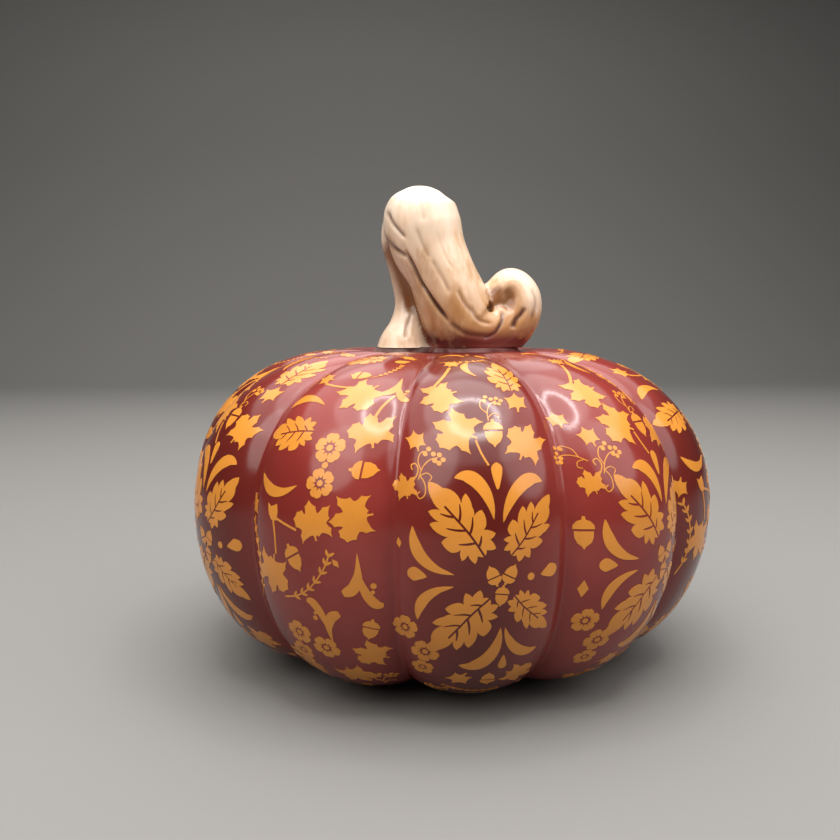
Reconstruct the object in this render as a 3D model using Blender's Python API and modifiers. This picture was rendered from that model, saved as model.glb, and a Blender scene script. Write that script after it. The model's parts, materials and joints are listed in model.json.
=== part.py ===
"""Slip-cast ceramic pumpkin figure with a hooked stem, luted on and glazed.

Metres, +Z up. The origin is on the table under the middle of the body, and one lobe faces -Y.
"""

import math

import bmesh
import bpy

# Driving dimensions
BODY_WIDTH = 0.215
WALL = 0.005
LOBES = 11
PAD_DIAMETER = 0.012
PAD_THICKNESS = 0.0012
PAD_OUTSET = 0.0062
VENT_DIAMETER = 0.014
JOINT_GAP = 0.0003
MERGE_DISTANCE = 0.00002

# The body's outline, as shares of the crest radius
CREST_RADIUS = BODY_WIDTH / 2
UPPER_HALF = {"neck": 0.341 * CREST_RADIUS, "height": 0.556 * CREST_RADIUS, "fullness": 0.804}
LOWER_HALF = {"neck": 0.357 * CREST_RADIUS, "height": 0.599 * CREST_RADIUS, "fullness": 0.699}
GROOVE_DEPTH = 0.0677
GROOVE_DIP = 0.052
GROOVE_SHARPNESS = 0.42
GROOVE_ROUNDING = 0.006

# Heights
BODY_LIFT = 0.0009
MID_HEIGHT = BODY_LIFT + LOWER_HALF["height"]
TOP_HEIGHT = MID_HEIGHT + UPPER_HALF["height"]
FOOT_HEIGHT = PAD_THICKNESS + JOINT_GAP
SEAT_DROP = 0.0012
SEAT_HEIGHT = TOP_HEIGHT - SEAT_DROP
SEAT_RADIUS = 0.033
BASE_DISH = 0.005

# The slip bead between the body and the stem
SEAM_BOTTOM = SEAT_HEIGHT + JOINT_GAP
SEAM_THICKNESS = 0.0014
SEAM_TOP = SEAM_BOTTOM + SEAM_THICKNESS
SEAM_SPREAD = 0.0012
STEM_BOTTOM = SEAM_TOP + JOINT_GAP

# How finely the surfaces are divided
STEPS_PER_LOBE = 8
OUTER_RINGS = 11
CAVITY_STEPS_PER_LOBE = 4
CAVITY_RINGS = 6
STEM_VOXEL = 0.0027

# The stem's centre lines: x, y, height above its seat, radius
TRUNK = (
    (-0.0099, 0.000, 0.0660, 0.0031),
    (-0.0105, 0.000, 0.0631, 0.0103),
    (-0.0112, 0.000, 0.0580, 0.0149),
    (-0.0113, 0.000, 0.0508, 0.0165),
    (-0.0087, -0.001, 0.0415, 0.0161),
    (-0.0050, -0.002, 0.0312, 0.0158),
    (-0.0002, -0.002, 0.0204, 0.0161),
    (0.0065, -0.002, 0.0090, 0.0159),
    (0.0168, -0.002, 0.0059, 0.0134),
    (0.0276, -0.001, 0.0116, 0.0109),
    (0.0299, -0.001, 0.0198, 0.0099),
    (0.0265, -0.001, 0.0248, 0.0086),
    (0.0218, -0.001, 0.0219, 0.0076),
    (0.0174, -0.001, 0.0180, 0.0072),
)
LEG = (
    (-0.0151, 0.002, 0.0538, 0.0115),
    (-0.0184, 0.005, 0.0446, 0.0095),
    (-0.0170, 0.007, 0.0312, 0.0072),
    (-0.0149, 0.007, 0.0188, 0.0070),
    (-0.0157, 0.006, 0.0095, 0.0084),
    (-0.0174, 0.005, 0.0013, 0.0115),
    (-0.0176, 0.005, -0.0038, 0.0126),
)

# Ellipses that the foot of the stem fills: centre x, centre y, half width, half depth
FOOT_ELLIPSES = (
    (-0.0176, 0.005, 0.0120, 0.0120),
    (0.0107, -0.002, 0.0186, 0.0131),
)


def remove_everything():
    for obj in list(bpy.data.objects):
        bpy.data.objects.remove(obj, do_unlink=True)


def new_collection(name):
    collection = bpy.data.collections.new(name)
    bpy.context.scene.collection.children.link(collection)
    return collection


def new_material(name, colour, roughness, coat):
    material = bpy.data.materials.new(name)
    material.use_nodes = True
    shader = material.node_tree.nodes["Principled BSDF"]
    shader.inputs["Base Color"].default_value = (*colour, 1.0)
    shader.inputs["Roughness"].default_value = roughness
    shader.inputs["Coat Weight"].default_value = coat
    return material


def new_object(name, data, collection, material=None):
    obj = bpy.data.objects.new(name, data)
    collection.objects.link(obj)
    if material:
        data.materials.append(material)
    return obj


def smooth_step(value, low, high):
    share = min(1.0, max(0.0, (value - low) / (high - low)))
    return share * share * (3 - 2 * share)


def half_outline(half, rings):
    """Radius and height above the waist, from the neck out to the waist."""
    points = []
    for ring in range(rings + 1):
        turn = math.pi / 2 * (1 - ring / rings)
        reach = math.cos(turn)
        rise = math.sqrt(max(0.0, 1 - reach ** (2 / half["fullness"])))
        radius = half["neck"] + (CREST_RADIUS - half["neck"]) * reach
        points.append((radius, half["height"] * rise))
    return points


def body_outline(rings):
    """The crest's outline from the middle of the seat, down the outside, to the middle of the base."""
    seat = [(0.0, SEAT_HEIGHT), (0.5 * SEAT_RADIUS, SEAT_HEIGHT), (SEAT_RADIUS, SEAT_HEIGHT)]
    upper = [(radius, MID_HEIGHT + rise) for radius, rise in half_outline(UPPER_HALF, rings)]
    lower = [(radius, MID_HEIGHT - rise) for radius, rise in half_outline(LOWER_HALF, rings)]
    lower = lower[-2::-1]
    base = []
    for share in (0.75, 0.45, 0.0):
        dish = BASE_DISH * (1 - share ** 2) ** 2
        base.append((share * LOWER_HALF["neck"], BODY_LIFT + dish))
    return seat + upper + lower + base


def turned_mesh(name, outline, steps, collection):
    """Spins an outline about Z and returns the plain mesh."""
    profile = bpy.data.meshes.new(name + "_profile")
    points = [(radius, 0, height) for radius, height in outline]
    edges = [(i, i + 1) for i in range(len(points) - 1)]
    profile.from_pydata(points, edges, [])
    guide = new_object(name + "_guide", profile, collection)
    screw = guide.modifiers.new("Turn", "SCREW")
    screw.steps = steps
    screw.render_steps = steps
    screw.use_merge_vertices = True
    screw.merge_threshold = MERGE_DISTANCE
    return made_mesh(guide, name)


def made_mesh(guide, name):
    """The evaluated shape of a guide object as a plain mesh; the guide is removed."""
    graph = bpy.context.evaluated_depsgraph_get()
    mesh = bpy.data.meshes.new_from_object(guide.evaluated_get(graph))
    mesh.name = name
    bpy.data.objects.remove(guide, do_unlink=True)
    shape = bmesh.new()
    shape.from_mesh(mesh)
    bmesh.ops.remove_doubles(shape, verts=shape.verts, dist=MERGE_DISTANCE)
    bmesh.ops.recalc_face_normals(shape, faces=shape.faces)
    shape.to_mesh(mesh)
    shape.free()
    return mesh


def groove_at(angle):
    """0 on a crest, 1 in the bottom of a groove; angle is measured from the front crest."""
    ridge = math.cos(LOBES * angle / 2) ** 2
    level = ((ridge + GROOVE_ROUNDING) / (1 + GROOVE_ROUNDING)) ** (GROOVE_SHARPNESS / 2)
    floor = (GROOVE_ROUNDING / (1 + GROOVE_ROUNDING)) ** (GROOVE_SHARPNESS / 2)
    return (1 - level) / (1 - floor)


def groove_strength(radius, height):
    """The grooves run out on the stem's seat and inside the foot ring."""
    if height > MID_HEIGHT:
        return smooth_step(radius, SEAT_RADIUS, 1.4 * SEAT_RADIUS)
    return smooth_step(radius, 0.4 * LOWER_HALF["neck"], LOWER_HALF["neck"])


def press_grooves(mesh):
    """Moves the points of a plain turned body onto the ribbed surface."""
    for vertex in mesh.vertices:
        x, y, z = vertex.co
        radius = math.hypot(x, y)
        groove = groove_at(math.atan2(x, -y)) * groove_strength(radius, z)
        half = UPPER_HALF if z > MID_HEIGHT else LOWER_HALF
        level = (z - MID_HEIGHT) / half["height"]
        inward = 1 - GROOVE_DEPTH * groove
        height = MID_HEIGHT + (z - MID_HEIGHT) * (1 - GROOVE_DIP * groove * abs(level))
        vertex.co = (x * inward, y * inward, max(height, FOOT_HEIGHT))


def shrink_to_cavity(mesh):
    """Draws the ribbed surface in by one wall thickness."""
    across = 1 - WALL / CREST_RADIUS
    up = 1 - 2 * WALL / (TOP_HEIGHT - BODY_LIFT)
    for vertex in mesh.vertices:
        x, y, z = vertex.co
        vertex.co = (x * across, y * across, MID_HEIGHT + (z - MID_HEIGHT) * up)


def cut_away(obj, cutter):
    """Takes the cutter's shape out of the object and hides the cutter."""
    boolean = obj.modifiers.new(cutter.name, "BOOLEAN")
    boolean.operation = "DIFFERENCE"
    boolean.solver = "EXACT"
    boolean.object = cutter
    cutter.hide_render = True
    cutter.display_type = "WIRE"


def smooth_shading(mesh, angle=0.7):
    mesh.shade_smooth()
    mesh.set_sharp_from_angle(angle=angle)


def disc_mesh(name, diameter, depth, segments):
    """A closed round disc or rod, centred, along Z."""
    shape = bmesh.new()
    radius = diameter / 2
    bmesh.ops.create_cone(shape, cap_ends=True, segments=segments, radius1=radius, radius2=radius, depth=depth)
    mesh = bpy.data.meshes.new(name)
    shape.to_mesh(mesh)
    shape.free()
    return mesh


def make_body(parts, cutters, glaze):
    steps = LOBES * STEPS_PER_LOBE
    mesh = turned_mesh("pumpkin_shell", body_outline(OUTER_RINGS), steps, cutters)
    press_grooves(mesh)
    smooth_shading(mesh)
    body = new_object("pumpkin_shell", mesh, parts, glaze)

    steps = LOBES * CAVITY_STEPS_PER_LOBE
    hollow = turned_mesh("cavity", body_outline(CAVITY_RINGS), steps, cutters)
    press_grooves(hollow)
    shrink_to_cavity(hollow)
    cavity = new_object("cavity", hollow, cutters)
    cut_away(body, cavity)

    vent_depth = 0.020
    vent = new_object("vent", disc_mesh("vent", VENT_DIAMETER, vent_depth, 32), cutters)
    vent.location = (0, 0, BODY_LIFT + BASE_DISH)
    cut_away(body, vent)


def tube_curve(name, route, collection):
    """A tube through the route's points, thick or thin as the route says, with closed ends."""
    curve = bpy.data.curves.new(name, "CURVE")
    curve.dimensions = "3D"
    curve.bevel_depth = 1.0
    curve.bevel_resolution = 6
    curve.resolution_u = 6
    curve.use_fill_caps = True
    spline = curve.splines.new("BEZIER")
    spline.bezier_points.add(len(route) - 1)
    for point, (x, y, height, radius) in zip(spline.bezier_points, route):
        point.co = (x, y, STEM_BOTTOM + height)
        point.radius = radius
        point.handle_left_type = "AUTO"
        point.handle_right_type = "AUTO"
    return new_object(name, curve, collection)


def make_stem(parts, cutters, glaze):
    """The hooked trunk and the thin leg behind it, grown together and cut flat underneath."""
    trunk = made_mesh(tube_curve("trunk", TRUNK, cutters), "stem")
    leg = made_mesh(tube_curve("leg", LEG, cutters), "leg")
    shape = bmesh.new()
    shape.from_mesh(trunk)
    shape.from_mesh(leg)
    shape.to_mesh(trunk)
    shape.free()
    bpy.data.meshes.remove(leg)
    stem = new_object("stem", trunk, parts, glaze)
    grow = stem.modifiers.new("Grow together", "REMESH")
    grow.mode = "VOXEL"
    grow.voxel_size = STEM_VOXEL
    grow.use_smooth_shade = True
    soften = stem.modifiers.new("Soften", "SMOOTH")
    soften.factor = 0.5
    soften.iterations = 3

    block_depth = 0.04
    block = new_object("seat_cut", disc_mesh("seat_cut", 0.12, block_depth, 32), cutters)
    block.location = (0, 0, STEM_BOTTOM - block_depth / 2)
    cut_away(stem, block)


def reach_of_ellipse(angle, ellipse, spread):
    """How far the ellipse reaches from the seat's middle in one direction, or nothing if it doesn't."""
    centre_x, centre_y, half_x, half_y = ellipse
    half_x += spread
    half_y += spread
    ray_x, ray_y = math.cos(angle), math.sin(angle)
    a = (ray_x / half_x) ** 2 + (ray_y / half_y) ** 2
    b = -2 * (ray_x * centre_x / half_x ** 2 + ray_y * centre_y / half_y ** 2)
    c = (centre_x / half_x) ** 2 + (centre_y / half_y) ** 2 - 1
    under_root = b * b - 4 * a * c
    if under_root <= 0:
        return 0.0
    return max(0.0, (-b + math.sqrt(under_root)) / (2 * a))


def foot_reach(angle, spread):
    """The rounded outline around both ellipses, as one smooth largest value."""
    power = 7
    total = sum(reach_of_ellipse(angle, ellipse, spread) ** power for ellipse in FOOT_ELLIPSES)
    return total ** (1 / power)


def make_seam(parts, slip):
    """The pad of joining slip, squeezed out a little all round the foot of the stem."""
    edge = 0.0005
    curve = bpy.data.curves.new("stem_luting_seam", "CURVE")
    curve.dimensions = "2D"
    curve.fill_mode = "BOTH"
    curve.extrude = SEAM_THICKNESS / 2 - edge
    curve.bevel_depth = edge
    curve.bevel_resolution = 1
    spline = curve.splines.new("POLY")
    steps = 64
    spline.points.add(steps - 1)
    for index, point in enumerate(spline.points):
        angle = math.tau * index / steps
        reach = foot_reach(angle, SEAM_SPREAD - edge)
        point.co = (reach * math.cos(angle), reach * math.sin(angle), 0, 1)
    spline.use_cyclic_u = True
    seam = new_object("stem_luting_seam", curve, parts, slip)
    seam.location = (0, 0, (SEAM_TOP + SEAM_BOTTOM) / 2)


def make_pads(parts, felt):
    """Four felt discs under the front pair and the rear pair of lobes."""
    ring_radius = LOWER_HALF["neck"] + PAD_OUTSET
    for index, lobe in enumerate((1, 4, 7, 10), start=1):
        angle = math.tau * lobe / LOBES
        name = f"felt_pad_{index}"
        mesh = disc_mesh(name, PAD_DIAMETER, PAD_THICKNESS, 36)
        smooth_shading(mesh)
        pad = new_object(name, mesh, parts, felt)
        pad.location = (ring_radius * math.sin(angle), -ring_radius * math.cos(angle), PAD_THICKNESS / 2)


def main():
    remove_everything()
    parts = new_collection("ceramic_pumpkin_figure")
    cutters = new_collection("cutters")
    burgundy = new_material("burgundy_glaze", (0.16, 0.025, 0.03), 0.12, 0.6)
    cream = new_material("stained_cream_glaze", (0.70, 0.49, 0.32), 0.2, 0.5)
    slip = new_material("joining_slip", (0.55, 0.46, 0.40), 0.6, 0.0)
    felt = new_material("grey_felt", (0.12, 0.11, 0.10), 0.95, 0.0)
    make_body(parts, cutters, burgundy)
    make_stem(parts, cutters, cream)
    make_seam(parts, slip)
    make_pads(parts, felt)


main()
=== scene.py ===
# %% [markdown]
# # A ribbed ceramic pumpkin with a gold transfer print
#
# The object is a slip-cast earthenware ornament: a hollow ribbed body in burgundy glaze, a printed
# gold pattern fired onto it, and a hooked stem that was cast apart and stuck on with slip. Its
# solids are already made and packed. This lesson loads them as a fixed frame and builds the fine
# surfaces, the print and the glazes round them.

# %% Load the frame
import json
import math
import random

import bmesh
import bpy
import numpy as np
from mathutils import Matrix, Vector
from mathutils.geometry import delaunay_2d_cdt
from mathutils.kdtree import KDTree

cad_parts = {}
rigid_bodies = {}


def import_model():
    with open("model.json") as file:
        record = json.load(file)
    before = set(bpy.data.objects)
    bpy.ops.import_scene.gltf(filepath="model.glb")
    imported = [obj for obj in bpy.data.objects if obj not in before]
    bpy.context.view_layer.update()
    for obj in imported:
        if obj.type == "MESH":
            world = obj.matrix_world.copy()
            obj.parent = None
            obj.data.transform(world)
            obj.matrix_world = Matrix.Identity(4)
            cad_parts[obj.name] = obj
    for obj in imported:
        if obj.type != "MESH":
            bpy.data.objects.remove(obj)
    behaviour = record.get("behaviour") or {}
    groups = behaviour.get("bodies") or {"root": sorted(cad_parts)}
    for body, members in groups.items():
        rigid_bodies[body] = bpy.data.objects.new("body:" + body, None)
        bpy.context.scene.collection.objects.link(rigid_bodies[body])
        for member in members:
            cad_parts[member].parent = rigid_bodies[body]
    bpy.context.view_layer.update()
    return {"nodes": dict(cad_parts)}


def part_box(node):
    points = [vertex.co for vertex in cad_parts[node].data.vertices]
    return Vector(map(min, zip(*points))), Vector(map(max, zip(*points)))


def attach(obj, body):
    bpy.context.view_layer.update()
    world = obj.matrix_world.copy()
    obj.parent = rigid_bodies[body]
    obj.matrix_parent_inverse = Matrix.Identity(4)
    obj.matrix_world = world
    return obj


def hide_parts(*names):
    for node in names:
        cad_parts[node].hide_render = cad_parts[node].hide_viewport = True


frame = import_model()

print("nodes in the frame:", sorted(frame["nodes"]))

# %% [markdown]
# ## Sizes read from the frame
#
# The main lengths come from the packed solids or are shares of one of them, so the fine surfaces
# stay true to the design. A few small ones, such as the wall, are given in millimetres. The front
# lobe's crest lies on the -Y side, which makes the body's lowest Y its crest radius. All lengths
# are metres, and MM turns millimetres into metres.

# %% Sizes
MM = 0.001
shell_low, shell_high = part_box("pumpkin_shell")
CREST_RADIUS = -shell_low.y
TOP_HEIGHT = shell_high.z
FOOT_HEIGHT = shell_low.z
LOBES = 11
LOBE_TURN = math.tau / LOBES
UPPER_HALF = {"neck": 0.341 * CREST_RADIUS, "height": 0.556 * CREST_RADIUS, "fullness": 0.804}
LOWER_HALF = {"neck": 0.357 * CREST_RADIUS, "height": 0.599 * CREST_RADIUS, "fullness": 0.699}
WAIST_HEIGHT = TOP_HEIGHT - UPPER_HALF["height"]
BODY_LIFT = WAIST_HEIGHT - LOWER_HALF["height"]
SEAT_RADIUS = 33 * MM
SEAT_HEIGHT = TOP_HEIGHT - 1.2 * MM
BASE_DISH = 5 * MM
WALL = 5 * MM
VENT_RADIUS = 7 * MM
STEM_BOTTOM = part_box("stem")[0].z
print(f"crest radius {CREST_RADIUS:.4f}, top {TOP_HEIGHT:.4f}, waist {WAIST_HEIGHT:.4f}")
print(f"stem from {STEM_BOTTOM:.4f}")

# %% [markdown]
# ## The camera
#
# The figure is seen from close by and a little above, with the front crest turned slightly to the
# right. A camera is easiest to place by the angle it looks from, the point it looks at and its
# distance, so a small function turns those three into a location and a rotation.

# %% Camera
VIEW_AZIMUTH = math.radians(-4.73)
VIEW_ELEVATION = math.radians(6.7)
VIEW_DISTANCE = 3.4975 * CREST_RADIUS
AIM_SIDEWAYS = -0.1087 * CREST_RADIUS
AIM_HEIGHT = BODY_LIFT + 0.8738 * CREST_RADIUS
SENSOR = 36.0
LENS = 37.76
NEAREST_SEEN = 0.01


def place_camera():
    back = Vector((
        math.sin(VIEW_AZIMUTH) * math.cos(VIEW_ELEVATION),
        -math.cos(VIEW_AZIMUTH) * math.cos(VIEW_ELEVATION),
        math.sin(VIEW_ELEVATION),
    ))
    turn = back.to_track_quat("Z", "Y")
    sideways = turn @ Vector((1, 0, 0))
    data = bpy.data.cameras.new("camera")
    data.sensor_width = SENSOR
    data.lens = LENS
    data.clip_start = NEAREST_SEEN
    camera = bpy.data.objects.new("camera", data)
    bpy.context.scene.collection.objects.link(camera)
    aim = sideways * AIM_SIDEWAYS + Vector((0, 0, AIM_HEIGHT))
    camera.location = aim + back * VIEW_DISTANCE
    camera.rotation_mode = "QUATERNION"
    camera.rotation_quaternion = turn
    bpy.context.scene.camera = camera
    return camera


camera = place_camera()
print("camera at", [round(value, 3) for value in camera.location])

# %% [markdown]
# ## Wires: node maths written as Python
#
# A formula of ten Math nodes is hard to read as ten Math nodes. This class wraps a socket and
# gives it Python's operators, so `1 - mask * 0.4` adds the nodes by itself. The same Math node
# serves materials and geometry, so one class does for both. A Board is a tree being wired: its
# one method adds any other node from its type, its settings and what goes into its sockets.


# %% Wire and Board
class Wire:
    """One output socket that can be added, multiplied and compared like a number."""

    def __init__(self, board, socket):
        self.board = board
        self.socket = socket

    def math(self, operation, *values):
        inputs = dict(enumerate((self, *values)))
        return self.board.node("ShaderNodeMath", {"operation": operation}, inputs)

    def flipped(self, operation, value):
        return self.board.node("ShaderNodeMath", {"operation": operation}, {0: value, 1: self})

    def __add__(self, value):
        return self.math("ADD", value)

    def __radd__(self, value):
        return self.math("ADD", value)

    def __sub__(self, value):
        return self.math("SUBTRACT", value)

    def __rsub__(self, value):
        return self.flipped("SUBTRACT", value)

    def __mul__(self, value):
        return self.math("MULTIPLY", value)

    def __rmul__(self, value):
        return self.math("MULTIPLY", value)

    def __truediv__(self, value):
        return self.math("DIVIDE", value)

    def __rtruediv__(self, value):
        return self.flipped("DIVIDE", value)

    def __pow__(self, value):
        return self.math("POWER", value)

    def __gt__(self, value):
        return self.math("GREATER_THAN", value)

    def between(self, low, high):
        """0 below low, 1 above high, and a soft slope between them."""
        settings = {"interpolation_type": "SMOOTHSTEP"}
        return self.board.node("ShaderNodeMapRange", settings, {"Value": self, 1: low, 2: high})

    def clamped(self):
        return self.board.node("ShaderNodeClamp", {}, {"Value": self})


class Board:
    """A node tree being wired."""

    def __init__(self, tree):
        self.tree = tree

    def plug(self, socket, value):
        if isinstance(value, Wire):
            self.tree.links.new(value.socket, socket)
        elif value is not None:
            socket.default_value = value

    def raw(self, kind, settings=None, inputs=None):
        """Adds a node: its settings first, then the values or wires of its sockets."""
        node = self.tree.nodes.new(kind)
        for name, value in (settings or {}).items():
            setattr(node, name, value)
        for key, value in (inputs or {}).items():
            self.plug(node.inputs[key], value)
        return node

    def node(self, kind, settings=None, inputs=None, output=0):
        """Adds a node and returns one of its outputs as a wire."""
        return Wire(self, self.raw(kind, settings, inputs).outputs[output])


print("operators ready:", [name for name in vars(Wire) if name.startswith("__")][3:])

# %% [markdown]
# ## Floor and studio
#
# A plain pale floor and soft light keep the eye on the piece. The glaze mirrors its lamps, so
# their shape matters as much as their strength: a ring lamp above the front draws the small round
# highlight on each lobe, and wide soft disks draw the broad pale bands.

# %% Floor
FLOOR_HALF = 3.0
SWEEP_START = 1.4
SWEEP_RADIUS = 0.6
SWEEP_STEPS = 12
BACKDROP_RISE = 2.5
PALE_PAPER = (0.175, 0.171, 0.164)


def plain_material(name, colour, roughness):
    material = bpy.data.materials.new(name)
    material.use_nodes = True
    shader = material.node_tree.nodes["Principled BSDF"]
    shader.inputs["Base Color"].default_value = (*colour, 1)
    shader.inputs["Roughness"].default_value = roughness
    return material


def add_floor():
    """A sheet of paper that lies flat and sweeps up behind the piece."""
    rows = [(-FLOOR_HALF, 0.0), (SWEEP_START, 0.0)]
    for step in range(1, SWEEP_STEPS + 1):
        turn = math.pi / 2 * step / SWEEP_STEPS
        rows.append((SWEEP_START + SWEEP_RADIUS * math.sin(turn), SWEEP_RADIUS * (1 - math.cos(turn))))
    rows.append((rows[-1][0], BACKDROP_RISE))
    shape = bmesh.new()
    previous = None
    for y, z in rows:
        pair = [shape.verts.new((x, y, z)) for x in (-FLOOR_HALF, FLOOR_HALF)]
        if previous:
            shape.faces.new((previous[0], previous[1], pair[1], pair[0]))
        previous = pair
    mesh = bpy.data.meshes.new("floor")
    shape.to_mesh(mesh)
    shape.free()
    mesh.shade_smooth()
    mesh.materials.append(plain_material("pale_paper", PALE_PAPER, 0.85))
    floor = bpy.data.objects.new("floor", mesh)
    bpy.context.scene.collection.objects.link(floor)
    return floor


floor = add_floor()
print("floor strips:", len(floor.data.polygons))

# %% [markdown]
# ## Lamps
#
# Each lamp is a round area light that looks at the middle of the piece. Blender has no ring-shaped
# lamp, so the ring is a circle of small lamps, close enough together to mirror as one. The Standard
# view transform shows colours as they are mixed, without toning them down.

# %% Lamps
RING_BULB_SIZE = 0.045
SOFT_WHITE = (1.0, 0.98, 0.96)
WARM_WHITE = (1.0, 0.96, 0.91)
FILL_WHITE = (1.0, 0.97, 0.95)
MIDDLE = (0, 0, 0.09)


def add_lamp(name, place, size, power, colour=(1, 1, 1)):
    data = bpy.data.lights.new(name, "AREA")
    data.shape = "DISK"
    data.size = size
    data.energy = power
    data.color = colour
    lamp = bpy.data.objects.new(name, data)
    bpy.context.scene.collection.objects.link(lamp)
    lamp.location = place
    direction = Vector(place) - Vector(MIDDLE)
    lamp.rotation_mode = "QUATERNION"
    lamp.rotation_quaternion = direction.to_track_quat("Z", "Y")


def add_ring_lamp(centre, radius, power, bulbs=28):
    """A circle of small lamps, close enough together to mirror as one ring."""
    axis = (Vector(centre) - Vector(MIDDLE)).normalized()
    side = axis.orthogonal().normalized()
    other = axis.cross(side)
    for index in range(bulbs):
        turn = math.tau * index / bulbs
        place = Vector(centre) + radius * (math.cos(turn) * side + math.sin(turn) * other)
        add_lamp(f"ring_lamp_{index}", place, RING_BULB_SIZE, power / bulbs)


def light_world(strength):
    world = bpy.data.worlds.new("studio")
    bpy.context.scene.world = world
    world.use_nodes = True
    background = world.node_tree.nodes["Background"]
    background.inputs["Color"].default_value = (*SOFT_WHITE, 1)
    background.inputs["Strength"].default_value = strength


add_ring_lamp((0.06, -0.20, 0.90), radius=0.25, power=4.6)
add_lamp("sky_disk", (0.0, 0.05, 1.30), 3.0, 36.0, SOFT_WHITE)
add_lamp("soft_disk", (0.0, -0.05, 1.25), 1.4, 13.0, SOFT_WHITE)
add_lamp("key_disk", (-0.60, -0.60, 0.80), 0.9, 6.4, WARM_WHITE)
add_lamp("fill_disk", (0.75, -0.50, 0.70), 0.9, 5.0, FILL_WHITE)
add_lamp("back_disk", (0.0, 0.90, 0.80), 0.8, 1.6, SOFT_WHITE)
light_world(0.05)
bpy.context.scene.view_settings.view_transform = "Standard"

# %% [markdown]
# ## The body's rule
#
# The real body comes from a plaster mould, and its shape follows one rule: a plump outline turned
# about the axis, pressed in along eleven grooves. A sculpted mesh could copy it, but the rule is
# shorter, exact, and can be asked for any point, which the print needs later. The outline is laid
# out once as a curve: outside from the stem's seat to the foot, round the lip of the vent hole,
# and back up the inside of the wall, so the cast is one closed skin.

# %% Outline
OUTLINE_RINGS = 90
SEAT_SHARES = (0, 0.25, 0.5, 0.75, 0.97)
DISH_STEPS = 8


def half_outline(half, rings):
    """Radius and height above the waist, from the neck out to the waist."""
    points = []
    for ring in range(rings + 1):
        turn = math.pi / 2 * (1 - ring / rings)
        reach = math.cos(turn)
        rise = math.sqrt(max(0.0, 1 - reach ** (2 / half["fullness"])))
        radius = half["neck"] + (CREST_RADIUS - half["neck"]) * reach
        points.append((radius, half["height"] * rise))
    return points


def body_outline(rings):
    """The crest's outline from the seat, down the outside, to the edge of the vent."""
    upper = [(radius, WAIST_HEIGHT + rise) for radius, rise in half_outline(UPPER_HALF, rings)]
    lower = [(radius, WAIST_HEIGHT - rise) for radius, rise in half_outline(LOWER_HALF, rings)]
    seat = [(SEAT_RADIUS * share, SEAT_HEIGHT) for share in SEAT_SHARES]
    dish = []
    for step in range(1, DISH_STEPS):
        radius = LOWER_HALF["neck"] + (VENT_RADIUS - LOWER_HALF["neck"]) * step / DISH_STEPS
        share = radius / LOWER_HALF["neck"]
        dish.append((radius, BODY_LIFT + BASE_DISH * (1 - share ** 2) ** 2))
    return seat + upper + lower[-2::-1] + dish


def drawn_in(points):
    """The same outline, one wall thickness further in."""
    across = 1 - WALL / CREST_RADIUS
    up = 1 - 2 * WALL / (TOP_HEIGHT - BODY_LIFT)
    return [(radius * across, WAIST_HEIGHT + (height - WAIST_HEIGHT) * up) for radius, height in points]


def outline_curve(name, points):
    curve = bpy.data.curves.new(name, "CURVE")
    curve.dimensions = "3D"
    spline = curve.splines.new("POLY")
    spline.points.add(len(points) - 1)
    for point, (radius, height) in zip(spline.points, points):
        point.co = (radius, 0, height, 1)
    guide = bpy.data.objects.new(name, curve)
    bpy.context.scene.collection.objects.link(guide)
    return guide


def length_of(points):
    return sum(math.dist(a, b) for a, b in zip(points, points[1:]))


outside = body_outline(OUTLINE_RINGS)
inside = drawn_in(body_outline(OUTLINE_RINGS // 3))[::-1]
cast_outline = outline_curve("cast_outline", outside + inside)
OUTSIDE_LENGTH = length_of(outside)
CAST_LENGTH = length_of(outside + inside)
waist_at = min(range(len(outside)), key=lambda index: -outside[index][0])
WAIST_LENGTH = length_of(outside[:waist_at + 1])
print(f"outside {OUTSIDE_LENGTH:.4f}, waist at {WAIST_LENGTH:.4f}, whole cast {CAST_LENGTH:.4f}")

# %% [markdown]
# ## The rule's sizes
#
# Four numbers shape the grooves: how deep they press in, how far they dip the top and the foot, how
# sharp they are, and how rounded their floor is. None of them is a length, so they suit a larger or
# a smaller body. The rest of the rule's sizes are the ones read above.

# %% Rule
GROOVE_DEPTH = 0.0677
GROOVE_DIP = 0.052
GROOVE_SHARPNESS = 0.42
GROOVE_ROUNDING = 0.006
RULE_SIZES = {
    "Lobes": float(LOBES),
    "Groove depth": GROOVE_DEPTH,
    "Groove dip": GROOVE_DIP,
    "Groove sharpness": GROOVE_SHARPNESS,
    "Groove rounding": GROOVE_ROUNDING,
    "Waist height": WAIST_HEIGHT,
    "Upper height": UPPER_HALF["height"],
    "Lower height": LOWER_HALF["height"],
    "Seat radius": SEAT_RADIUS,
    "Foot ring radius": LOWER_HALF["neck"],
    "Foot height": FOOT_HEIGHT,
}
print("the rule has", len(RULE_SIZES), "named sizes")

# %% [markdown]
# ## Trees with named inputs
#
# A tree is made empty, with one named input for each size, and its result is taken off as a plain
# mesh. A modifier keeps its inputs under each socket's identifier, which is why `grown` looks that
# up from the name before anything is evaluated.

# %% Trees
SOCKET_KINDS = {
    float: "NodeSocketFloat", int: "NodeSocketInt", bpy.types.Object: "NodeSocketObject",
    bpy.types.Material: "NodeSocketMaterial", bpy.types.Collection: "NodeSocketCollection",
}


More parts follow.
